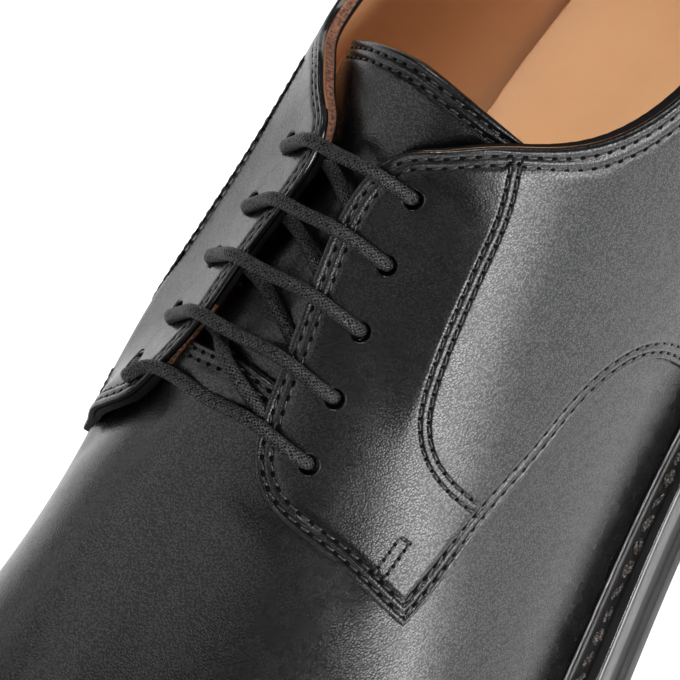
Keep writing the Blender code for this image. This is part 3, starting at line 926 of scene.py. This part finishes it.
def quarter_surface(turn, way, from_top, from_low):
    """Outer offset of a quarter: rolled edges and the furrows that the stitch rows pull in."""
    along = along_of(turn)
    low = np.where(way % 2 < 0.005, NO_EDGE, from_low)
    edge = np.where(from_low > EDGE_LINES[-1], from_top, np.minimum(from_top, low))
    roll = np.where((from_top < 6) & (along > 118), FACING_ROLL, EDGE_ROLL)
    roll = np.where((way < 1) & (along > 172), TAB_ROLL, roll)
    out = QUARTER_OUT - rounded(edge, roll) + leather_lift(turn, way)
    depth = FURROW + TAB_FURROW * smooth(along, 160, 170) * (way < 1)
    return out - furrows(edge, depth)


def cut_holes(item, depth=7.0):
    """Punches the eyelet holes through a sheet."""
    work = bmesh.new()
    for side, spots in EYELETS.items():
        for turn, way in spots:
            axis = Vector(leather_normal(turn, way))
            place = Matrix.Translation(Vector(to_world(shell_point(turn, way, 0.0))))
            place = place @ axis.to_track_quat("Z", "Y").to_matrix().to_4x4()
            wide = (HOLE_RADII[side] + LIP_WIDTH - 0.02) * MM
            bmesh.ops.create_cone(work, cap_ends=True, segments=28, radius1=wide, radius2=wide,
                                  depth=depth * MM, matrix=place)
    mesh = bpy.data.meshes.new("hole_punch")
    work.to_mesh(mesh)
    work.free()
    punch = bpy.data.objects.new("hole_punch", mesh)
    bpy.context.scene.collection.objects.link(punch)
    cut = item.modifiers.new("holes", "BOOLEAN")
    cut.operation = "DIFFERENCE"
    cut.solver = "EXACT"
    cut.object = punch
    graph = bpy.context.evaluated_depsgraph_get()
    done = bpy.data.meshes.new_from_object(item.evaluated_get(graph))
    item.modifiers.clear()
    item.data = done
    done.set_sharp_from_angle(angle=math.radians(50))
    bpy.data.objects.remove(punch, do_unlink=True)


def sewn_line(turn, share, inside, out):
    """A line on a quarter as points, surface normals and sideways directions."""
    way = way_of(share, inside)
    line = shell_point(turn, way, out + leather_lift(turn, way))
    up = outward(turn, way)
    return line, up, np.cross(up, unit(np.gradient(line, axis=0)))


def facing_line(inside, out):
    """The middle of the facing's double row."""
    turn, share, _ = edge_curve(FACING_MED if inside else FACING_LAT, 160)
    return sewn_line(turn, share, inside, out)


def tack_line(inside, out):
    """The middle of the bar tack."""
    k = np.linspace(0, 1, 24)
    along, share = (first + (last - first) * k for first, last in zip(TACK_FROM, TACK_TO))
    return sewn_line(angle_of(along), share - (TACK_DOWN if inside else 0), inside, out)


def mark_rows(item):
    """Stores on each point of the quarters its distance from the middle of the nearest double row."""
    spots = np.empty(len(item.data.vertices) * 3)
    item.data.vertices.foreach_get("co", spots)
    spots = spots.reshape(-1, 3) / MM + MIDDLE
    best = np.full(len(spots), 1e6)
    gap = np.full(len(spots), 50.0)
    for inside in (False, True):
        line, _, side = facing_line(inside, QUARTER_OUT)
        for p, across in zip(line, side):
            away = spots - p
            far = np.einsum("ij,ij->i", away, away)
            near = far < best
            best[near] = far[near]
            gap[near] = away[near] @ across
    gap = np.where((best > 9.0) | (best - gap ** 2 > 1.0), np.copysign(50.0, gap), gap)
    item.data.attributes.new("row_gap", "FLOAT", "POINT").data.foreach_set("value", gap)


def quarters():
    turn, way, from_top, from_low = STRIP
    low_lift = panel_lift(turn, way) + wall_tuck(turn, way)
    lift = low_lift + tab_rise(turn, way)
    along = along_of(turn)
    last = turn.shape[1] - 2

    def trim(layer, i, j):
        """The throat's and the collar's edges are polished, those that lie on the vamp are plain ink; in
        the throat the inner side is painted black as shade.
        """
        if layer == 2:
            return 2 if j > last and along[i, j] < 170 else 3
        # the inner side in the throat is painted black as shade
        return 3 if layer and along[i, j] > THROAT_SHADE_FROM else layer

    off = EDGE_LIFT * (1 - smooth(np.minimum(from_top, from_low), 0.4, 1.6)) * smooth(along, 104, 118)
    off = off * np.where(way > 1, smooth(2 - way, 0.52, 0.62), 1.0)
    leather = sheet("quarters", turn, way, quarter_surface(*STRIP), LINING_TOP + 0.05 + lift + off,
                    (CALF_ROWS, LINING, POLISHED, EDGE_INK_AND_THROAT_SHADE), ("upper",), paint=trim)
    cut_holes(leather)
    mark_rows(leather)
    thick = LINING_WALL + np.interp(along, (128, 140), (0.5, -0.45)) * np.exp(-(from_top / 6.0) ** 2)
    inside = LINING_TOP - thick + low_lift + TAB_HOLLOW * tab_rise(turn, way)

    def paint(layer, i, j):
        """The inner side's cut edge is raw by the collar and low in the throat, elsewhere black ink; in the
        throat the lining itself is painted black as the throat's deep shade."""
        if layer == 2:
            bare = any(low < along[i, j] < high for low, high in RAW_EDGES)
            return 2 if bare and way[i, j] > 1 else 3
        # the lining in the throat is painted black as the throat's deep shade
        return 3 if along[i, j] > THROAT_SHADE_FROM else layer

    lining = sheet("quarter_lining", turn, way, LINING_TOP + lift, inside,
                   (LINING, LINING, RAW, EDGE_INK_AND_THROAT_SHADE), paint=paint)
    cut_holes(lining)
    lip = slice(-7, None)
    bind = inside[:, lip]
    sheet("collar_binding", turn[:, lip], way[:, lip], bind, bind - 0.5 + rounded(from_top[:, lip], 0.45),
          (EDGE_INK_AND_THROAT_SHADE, EDGE_INK_AND_THROAT_SHADE, EDGE_INK_AND_THROAT_SHADE))


def eyelet_rims():
    """The lip of each hole: the leather's edge turned down into it, and the hole's wall, painted near-black
    as its shade.
    """
    section = ((LIP_WIDTH, -0.03), (0.28, 0.0), (0.17, -0.03), (0.08, -0.1), (0.02, -0.2), (0.0, -0.32),
               (0.0, -2.6), (LIP_WIDTH, -2.6))
    points, faces, slots = [], [], []
    around, corners = 36, len(section)
    for side, spots in EYELETS.items():
        for turn, way in spots:
            up = leather_normal(turn, way)
            right = unit(np.cross(up, (0.0, 0.0, 1.0)))
            fore = np.cross(up, right)
            centre = shell_point(turn, way, QUARTER_OUT + float(leather_lift(turn, way)))
            first = len(points)
            for i in range(around):
                a = 2 * math.pi * i / around
                spoke = right * math.cos(a) + fore * math.sin(a)
                for wide, high in section:
                    points.append(centre + spoke * (HOLE_RADII[side] + wide) + up * high)
            faces += ring_faces(corners, around, first, closed=True)
            # the lip is leather; the wall below it takes the painted hole shade
            slots += [0 if k < 5 else 1 for k in range(corners)] * around
    piece("eyelet_rims", np.array(points), faces, (CALF, PAINTED_HOLE_SHADE), slots, sharp=70)


def quarter_seams():
    """Double rows along the facing, tab and seam edges, the curved line of the facing and the bar tack."""
    for (turn, share, run, split), inside in ((BORDER_LAT, False), (BORDER_MED, True)):
        low_turn, low_share, _ = low_edge(500)
        keep = low_share > 0.02
        low = (low_turn[keep], way_of(low_share[keep], inside))
        top = (turn[::4], way_of(share[::4], inside))
        sign = -1 if inside else 1
        for place in (ROW_NEAR, ROW_FAR):
            wide = edge_width(along_of(top[0]))
            for line, other, distance in ((top, low, sign * place * wide), (low, top, -sign * place)):
                a, w = inset(*line, distance * np.ones(len(line[0])))
                clear = nearest(foot(a, w), foot(*other)) > place - 0.15
                a, w = a[clear], w[clear]
                level = QUARTER_OUT - furrows(place) + leather_lift(a, w)
                SEAMS.row(shell_point(a, w, level), outward(a, w))
        line, up, side = facing_line(inside, QUARTER_OUT + 0.02)
        for shift in (-ROW_HALF, ROW_HALF):
            SEAMS.row(line + side * shift, up, **(FACING_STITCH_MED if inside else FACING_STITCH))
        line, up, side = tack_line(inside, QUARTER_OUT - 0.03)
        for shift in (-TACK_HALF, TACK_HALF):
            SEAMS.row(line + side * shift, up, **TACK_STITCH)
        knot = np.array([line[-1] - side[-1] * TACK_HALF, line[-1] + side[-1] * TACK_HALF])
        SEAMS.row(knot, np.array([up[-1], up[-1]]), **KNOT_STITCH)


# Vamp, tongue and back strip

def vamp():
    around, run = 150, 120
    share = np.linspace(0, 1, around // 2 + 1)
    rear = natural_spline([row[1] for row in VAMP_REAR], angle_of([row[0] for row in VAMP_REAR]))(share)
    way = np.concatenate([share, 2 - share[-2::-1]])
    start = np.concatenate([rear, rear[-2::-1]])
    by_edge = [0, 0.001, 0.0025, 0.005, 0.008, 0.011, 0.0145, 0.018, 0.022, 0.027, 0.033]
    mix = np.concatenate([by_edge, np.linspace(0.04, 1, run)])
    turn = start[:, None] * (1 - mix) + math.pi * mix
    ways = np.repeat(way[:, None], turn.shape[1], 1)
    steps = np.linalg.norm(np.diff(foot(turn, ways), axis=1), axis=2)
    gone = np.concatenate([np.zeros((len(way), 1)), np.cumsum(steps, axis=1)], 1)
    lift = panel_lift(turn, ways) + wall_tuck(turn, ways) + vamp_dip(turn, ways)
    out = lift - rounded(gone, 0.7) - furrows(gone)
    sheet("vamp", turn, ways, out, lift - VAMP_WALL, (CALF, LINING, CALF))
    for place in (ROW_NEAR, ROW_FAR):
        path, ups = [], []
        for i in np.where(np.abs(way - 1) < 0.24)[0]:
            a = np.interp(place, gone[i], turn[i])
            path.append(shell_point(a, way[i], -0.2))
            ups.append(outward(a, way[i]))
        SEAMS.row(np.array(path), np.array(ups))


def tongue_depth(along):
    return TONGUE_OUT - TONGUE_SINK * np.clip((VAMP_REAR[-1][0] - along) / SINK_RUN, 0, 1)


def tongue():
    columns = 80
    long, step = 62.0, 0.9
    lines = spaced(long, step)
    down = (lines / lines[-1])[:, None]
    across = np.linspace(0, 1, columns)[None, :]
    (top_lat, top_med), (low_lat, low_med) = TONGUE_SHARE
    lat = top_lat * (1 - down) + low_lat * down
    med = 2 - (top_med * (1 - down) + low_med * down)
    way = lat * (1 - across) + med * across
    start = TONGUE_TOP - TONGUE_ROUND * (2 * across - 1) ** 2
    along = start * (1 - down) + TONGUE_FOOT * down
    turn = angle_of(along)
    gone = np.repeat(lines[:, None], columns, 1)
    level = tongue_depth(along) + panel_lift(turn, way)
    level = level - TONGUE_DROP * between(way, *TROUGH_WAY) * between(along, *TROUGH_ALONG)
    out = level - rounded(gone, 0.6) - furrows(gone)
    inner = level - TONGUE_WALL + rounded(gone, 0.6)
    sheet("tongue", turn, way, out, inner, (CALF, LINING, CALF), ("tongue",))
    for place in (ROW_NEAR, ROW_FAR):
        k = EDGE_LINES.index(place)
        SEAMS.row(shell_point(turn[k], way[k], out[k]), outward(turn[k], way[k]))


def back_strip():
    """The narrow strip over the back seam, sewn down on both sides."""
    half_wide = 6.5
    thick = 0.75
    row_in = 1.5
    top_share = 0.505
    across = np.linspace(-1, 1, 31)
    share = np.linspace(0.0, top_share, 60)
    dense = np.linspace(0, 0.9, 300)
    turn = np.empty((len(across), len(share)))
    for j, t in enumerate(share):
        width = foot(dense, np.full(dense.shape, t))[:, 1]
        turn[:, j] = np.interp(np.abs(across) * half_wide, width, dense)
    way = np.where(across[:, None] >= 0, share, 2 - share)
    edge = half_wide * (1 - np.abs(across))[:, None] + 0 * share
    rise = thick - rounded(edge, 0.7) - groove(edge, row_in, 0.15)
    top = np.clip((top_share - share) / 0.02, 0.0, 1.0)
    out = QUARTER_OUT + rise * np.sqrt(top)[None, :]
    inner = np.full(turn.shape, QUARTER_OUT - 0.4)
    sheet("back_strip", turn, way, out, inner, (CALF, CALF, CALF))
    for side in (-1, 1):
        k = np.argmin(np.abs(across - side * (1 - row_in / half_wide)))
        path = shell_point(turn[k], way[k], QUARTER_OUT + 0.6)[3:-2]
        SEAMS.row(path, outward(turn[k], way[k])[3:-2])


# Lace

def tube(path, radius, sides):
    """Points, faces and texture places of a round tube with closed ends."""
    ahead = unit(np.gradient(path, axis=0))
    run = run_of(path)
    side = np.cross(ahead[0], (0.3, 0.5, 0.8))
    points = []
    for p, t in zip(path, ahead):
        side = unit(side - t * (side @ t))
        other = np.cross(t, side)
        for s in range(sides):
            a = 2 * math.pi * s / sides
            points.append(p + (side * math.cos(a) + other * math.sin(a)) * radius)
    uv = []
    for i in range(len(path) - 1):
        for s in range(sides):
            for k, v in ((i, s), (i, s + 1), (i + 1, s + 1), (i + 1, s)):
                uv.append((run[k] / BRAID_PITCH, v / sides))
    uv += [(0.0, 0.0)] * (2 * sides)
    return np.array(points), solid_faces(sides, len(path)), uv


def lace_route():
    """One cord: a bar over each pair of eyelets, crossing under to the next outer eyelet."""
    way_points = []

    def put(turn, way, out):
        way_points.append(shell_point(turn, way, out))

    def sunk(turn, way):
        return float(leather_lift(turn, way))

    for k in range(BAR_COUNT):
        (turn, lat), (back_turn, med) = EYELETS[1][k], EYELETS[-1][k]
        inner_end = dict(zip(INNER_END, INNER_ENDS[k]))
        end = med + inner_end["past"]
        along = float(along_of(turn))
        lean = float(angle_of(along + inner_end["fore"]))
        lat_edge = float(by_length(COLLAR_LAT, along))
        med_edge = 2 - float(by_length(COLLAR_MED, along))
        low_lat, low_med = sunk(turn, lat), sunk(lean, end)
        put(turn, lat, LACE_UNDER)
        for past, height in LACE_UP:
            put(turn, lat + past, height + low_lat)
        middle = 0.45 * lat + 0.55 * lat_edge
        put(turn, middle, LACE_OVER + sunk(turn, middle))
        a = shell_point(turn, lat_edge, LACE_OVER)
        b = shell_point(turn, med_edge, LACE_OVER)
        way_points.extend([a, a * 0.5 + b * 0.5 + outward(turn, 1.0) * 0.35, b])
        middle = 0.45 * end + 0.55 * med_edge
        put(0.5 * turn + 0.5 * lean, middle, LACE_OVER + sunk(turn, middle))
        put(lean, end - 0.03, LACE_OVER - 0.05 + sunk(lean, end - 0.03))
        for past, height in LACE_DOWN:
            put(lean, end + past, height + low_med)
        put(0.5 * lean + 0.5 * back_turn, 0.5 * end + 0.5 * med, -0.6 + low_med)
        put(back_turn, med, -1.6 + low_med)
        put(back_turn, med - 0.004, LACE_UNDER + low_med)
        if k + 1 < BAR_COUNT:
            next_turn, next_lat = EYELETS[1][k + 1]
            for mix in (0.16, 0.33, 0.5, 0.67, 0.84):
                at = back_turn + (next_turn - back_turn) * float(smooth(mix, 0.0, 1.0))
                rise = VAMP_CLIMB * smooth(float(along_of(at)), *CLIMB_ALONG) * (1 - smooth(mix, 0.7, 0.95))
                put(at, med * (1 - mix) + next_lat * mix, LACE_UNDER + rise)
    last_turn, last_way = EYELETS[-1][-1]
    first_turn, first_way = EYELETS[-1][0]
    for mix in (0.12, 0.3, 0.5, 0.7, 0.9, 1.0):
        at = last_turn * (1 - mix) + first_turn * mix
        put(at, last_way * (1 - mix) + first_way * mix - 0.03 * min(1.0, mix * 4), LACE_UNDER)
    points = np.array(way_points)
    run = run_of(points)
    want = np.arange(0, run[-1], LACE_STEP)
    return np.column_stack([natural_spline(run, points[:, i])(want) for i in range(3)])


def lace():
    points, faces, uv = tube(lace_route(), LACE_WIDTH / 2, 14)
    bars = tuple("lace_bar_%d" % (k + 1) for k in range(BAR_COUNT))
    piece("lace", points, faces, (CORD,), nodes=bars, sharp=60, uv=uv)


# Sock, welt, outsole and heel

def cap_strips(count):
    """Faces that close a heel to toe loop by joining its outer and inner points."""
    faces = []
    for i in range(count // 2):
        corners = [i, (count - i) % count, (count - i - 1) % count, i + 1]
        faces.append(tuple(dict.fromkeys(corners)))
    return faces


def stacked(name, rings, materials, bands, nodes, sharp=40):
    """A plate from rings of points, closed at its first and last ring; bands are the rings' materials."""
    count = len(rings[0])
    faces = ring_faces(count, len(rings))
    slots = np.repeat(bands, count).tolist()
    for base, band in ((0, bands[0]), ((len(rings) - 1) * count, bands[-1])):
        for face in cap_strips(count):
            faces.append(tuple(base + i for i in face))
            slots.append(band)
    return piece(name, np.concatenate(rings), faces, materials, slots, nodes, sharp)


def sock():
    """Insole with its leather sock, cupped a little at the edge."""
    steps = 90
    cup = ((-0.5, 1.0), (-0.9, 1.3), (-1.6, 1.15), (-3.0, 0.7), (-6.0, 0.25), (-10.0, 0.0))
    rings = [sole_ring(steps, WALL_IN, -0.5, outsole_top, GAP)]
    rings += [sole_ring(steps, WALL_IN, out, bottom_edge, INSOLE_RISE + rise) for out, rise in cup]
    stacked("sock", rings, (SOCK,), [0] * len(cup), ("insole",))


# The welt's section: distance out from the upper, height, and material, which is 0 for the ridges,
# 1 for the channel, 2 for polished leather and 3 for the side
WELT_SECTION = (
    (-2.3, -0.25, 1), (-0.5, -0.25, 1), (-0.36, -0.15, 1), (-0.22, 0.2, 0), (-0.14, 0.34, 0),
    (-0.04, 0.34, 0), (0.17, 0.0, 1), (0.32, -0.02, 1), (0.46, 0.24, 0), (0.54, 0.31, 0),
    (0.64, 0.3, 0), (0.86, -0.06, 1), (1.03, -0.25, 1), (1.3, -0.5, 1), (1.6, -0.62, 1),
    (3.0, -0.62, 1), (3.4, -0.4, 1), (3.65, -0.08, 1), (3.9, 0.0, 1), (5.3, 0.0, 2),
    (5.5, -0.02, 2), (5.66, -0.08, 2), (6.14, -0.83, 2), (6.18, -0.95, 2), (6.06, -1.05, 1),
    (6.06, -1.12, 3), (6.2, -1.26, 3), (6.32, -3.74, 3), (6.28, -3.78, 1), (-2.3, -3.78, 1),
)
WELT_FIXED = 1.03         # farther out than this, the section narrows where the welt reaches less
WELT_ROW = 2.2            # the stitches' distance out, and half the distance between their two strands
STRAND_HALF = 0.26


def welt_ring(out, height):
    """A line of the welt's section, carried round the shoe."""
    loop, normal = bottom_loop(150)
    reach = by_length(WELT_REACH, loop[:, 0])
    narrow = (reach - WELT_FIXED) / (WELT_REACH[-1][1] - WELT_FIXED)
    spot = loop + normal * (min(out, WELT_FIXED) + max(out - WELT_FIXED, 0) * narrow)[:, None]
    return np.column_stack([spot, welt_top(spot[:, 0]) + height]), normal


def welt():
    """Welt with two fine ridges by the upper, a stitch channel, a flat and a burnished edge."""
    rings = [welt_ring(out, height)[0] for out, height, _ in WELT_SECTION]
    count = len(rings[0])
    slots = np.repeat([row[2] for row in WELT_SECTION], count).tolist()
    piece("welt", np.concatenate(rings), ring_faces(count, len(rings), closed=True),
          (RIDGE, CHANNEL, POLISHED, WELT_SIDE), slots, ("welt",), sharp=60)
    sewing = Sewing()
    path, normal = welt_ring(WELT_ROW, -0.55)
    sideways = np.column_stack([normal, np.zeros(count)])
    path, sideways = (np.concatenate([line, line[:1]]) for line in (path, sideways))
    up = np.tile((0.0, 0.0, 1.0), (len(path), 1))
    for shift in (-STRAND_HALF, STRAND_HALF):
        sewing.row(path + sideways * shift, up, **WELT_STITCH)
    sewing.finish("welt_stitches", WELT_THREAD)


def outsole():
    """Outsole: a dark set-back band under the welt, a satin edge, and a shallow channel underneath."""
    steps = 130
    side = ((-3.0, 0.0), (-0.52, 0.0), (-0.47, -0.05), (-0.45, -0.42), (-0.72, -0.55), (-0.6, -4.0),
            (0.1, -4.3), (0.4, -4.55))
    under = ((0.45, 0.9), (0.2, 0.35), (-0.4, 0.0), (-6.6, 0.0), (-6.9, 0.35), (-7.5, 0.35), (-7.8, 0.0))
    bands = [1, 3, 3, 1, 1, 1, 0, 0, 0, 0, 2, 2, 2, 2]
    rings = [sole_ring(steps, WELT_REACH, out, outsole_top, height) for out, height in side]
    rings += [sole_ring(steps, WELT_REACH, out, sole_under, height) for out, height in under]
    stacked("outsole", rings, (SOLE_MAT, BAND_MAT, UNDER_MAT, WELT_SIDE), bands,
            ("outsole",))


def heel():
    """Stacked heel: lifts with fine joints and a rubber top piece, with a hollowed front face."""
    breast, hollow, taper = 70.0, 3.0, 2.5
    outline = sole_loop(150, WELT_REACH)
    half = len(outline) // 2
    keep = [i for i in range(len(outline)) if outline[i, 0] < breast - 0.5]
    order = [i for i in keep if i > half] + [i for i in keep if i <= half]
    back = outline[order]
    front = np.linspace(0, 1, 25)
    left, right = back[-1].copy(), back[0].copy()
    bay = np.stack([breast - hollow * np.sin(math.pi * front), left[1] + (right[1] - left[1]) * front], -1)
    top = np.concatenate([back, bay])
    middle = np.array([SEAT_END / 2, 0.0])
    rim = HEEL_HEIGHT - GAP
    joints = (6.2, 10.6, 15.0, 19.4)
    levels = [(0.0, 0.5), (0.35, 0.1), (0.8, 0.0)]
    for z in joints:
        levels += [(z - 0.3, 0.0), (z - 0.08, 0.28), (z + 0.08, 0.28), (z + 0.3, 0.0)]
    levels += [(rim - 0.3, 0.0), (rim, 0.3)]
    rings = []
    for z, inward in levels:
        share = 1 - (taper * (1 - z / HEEL_HEIGHT) + inward) / (SEAT_END / 2)
        rings.append(np.column_stack([middle + (top - middle) * share, np.full(len(top), z)]))
    rubber = [1 if z < joints[0] - 0.2 else 0 for z, _ in levels[:-1]]
    slots = np.repeat(rubber, len(top)).tolist() + [1, 0]
    piece("heel", np.concatenate(rings), solid_faces(len(top), len(rings)), (SOLE_MAT, UNDER_MAT),
          slots, ("heel",), sharp=35)


# Camera, floor and light

CAMERA_AZIMUTH = math.radians(56.99)
CAMERA_RISE = math.radians(54.67)
CAMERA_ROLL = math.radians(-20.77)
CAMERA_TARGET = (150.7, 4.7, 81.0)
CAMERA_FAR = 974.1
FOCAL_PIXELS = 6161.6
FRAME_PIXELS = 680


def camera():
    rise = math.cos(CAMERA_RISE)
    back = Vector((math.cos(CAMERA_AZIMUTH) * rise, math.sin(CAMERA_AZIMUTH) * rise, math.sin(CAMERA_RISE)))
    level = Vector((-math.sin(CAMERA_AZIMUTH), math.cos(CAMERA_AZIMUTH), 0))
    over = back.cross(level)
    right = level * math.cos(CAMERA_ROLL) + over * math.sin(CAMERA_ROLL)
    up = back.cross(right)
    data = bpy.data.cameras.new("camera")
    data.sensor_width = 36.0
    data.lens = FOCAL_PIXELS / FRAME_PIXELS * data.sensor_width
    data.clip_start, data.clip_end = 0.05, 50.0
    item = bpy.data.objects.new("camera", data)
    turn = Matrix((right, up, back)).transposed().to_4x4()
    item.matrix_world = Matrix.Translation(Vector(to_world(CAMERA_TARGET)) + back * CAMERA_FAR * MM) @ turn
    bpy.context.scene.collection.objects.link(item)
    bpy.context.scene.camera = item


def softbox(name, place, aim, wide, high, power, spread):
    """A flat soft light, facing its aim, that the camera doesn't see; a small spread is a gridded box."""
    data = bpy.data.lights.new(name, "AREA")
    data.shape = "RECTANGLE"
    data.size, data.size_y = wide, high
    data.energy = power
    data.spread = math.radians(spread)
    item = bpy.data.objects.new(name, data)
    item.location = place
    item.rotation_euler = (Vector(aim) - Vector(place)).to_track_quat("-Z", "Y").to_euler()
    item.visible_camera = False
    bpy.context.scene.collection.objects.link(item)


def studio():
    scene = bpy.context.scene
    scene.view_settings.view_transform = "Standard"
    world = bpy.data.worlds.new("studio")
    scene.world = world
    world.use_nodes = True
    background = world.node_tree.nodes["Background"]
    background.inputs["Color"].default_value = (1.0, 1.0, 1.0, 1.0)
    background.inputs["Strength"].default_value = WORLD_LIGHT
    for light in SOFTBOXES:
        softbox(*light)
    mesh = bpy.data.meshes.new("floor")
    reach, drop = 4.0, -0.0004
    corners = [(x * reach, y * reach, drop) for x, y in ((-1, -1), (1, -1), (1, 1), (-1, 1))]
    mesh.from_pydata(corners, [], [(0, 1, 2, 3)])
    mat, _, shader = new_material("floor_white", (0.93, 0.93, 0.93), 0.9)
    shader.inputs["Emission Color"].default_value = (1.0, 1.0, 1.0, 1.0)
    shader.inputs["Emission Strength"].default_value = FLOOR_GLOW
    mesh.materials.append(mat)
    floor = bpy.data.objects.new("floor", mesh)
    scene.collection.objects.link(floor)


EYELETS = eyelets()
BORDER_LAT = border(COLLAR_LAT, FRONT_LAT, FRONT_FROM)
BORDER_MED = border(COLLAR_MED, FRONT_MED, FRONT_FROM_MED)
LAT = quarter_grid(BORDER_LAT, False)
MED = quarter_grid(BORDER_MED, True)
STRIP = [np.concatenate([a, b[-2::-1]]) for a, b in zip(LAT, MED)]
quarters()
eyelet_rims()
quarter_seams()
vamp()
tongue()
back_strip()
SEAMS.finish("seams", THREAD)
lace()
sock()
welt()
outsole()
heel()
camera()
studio()
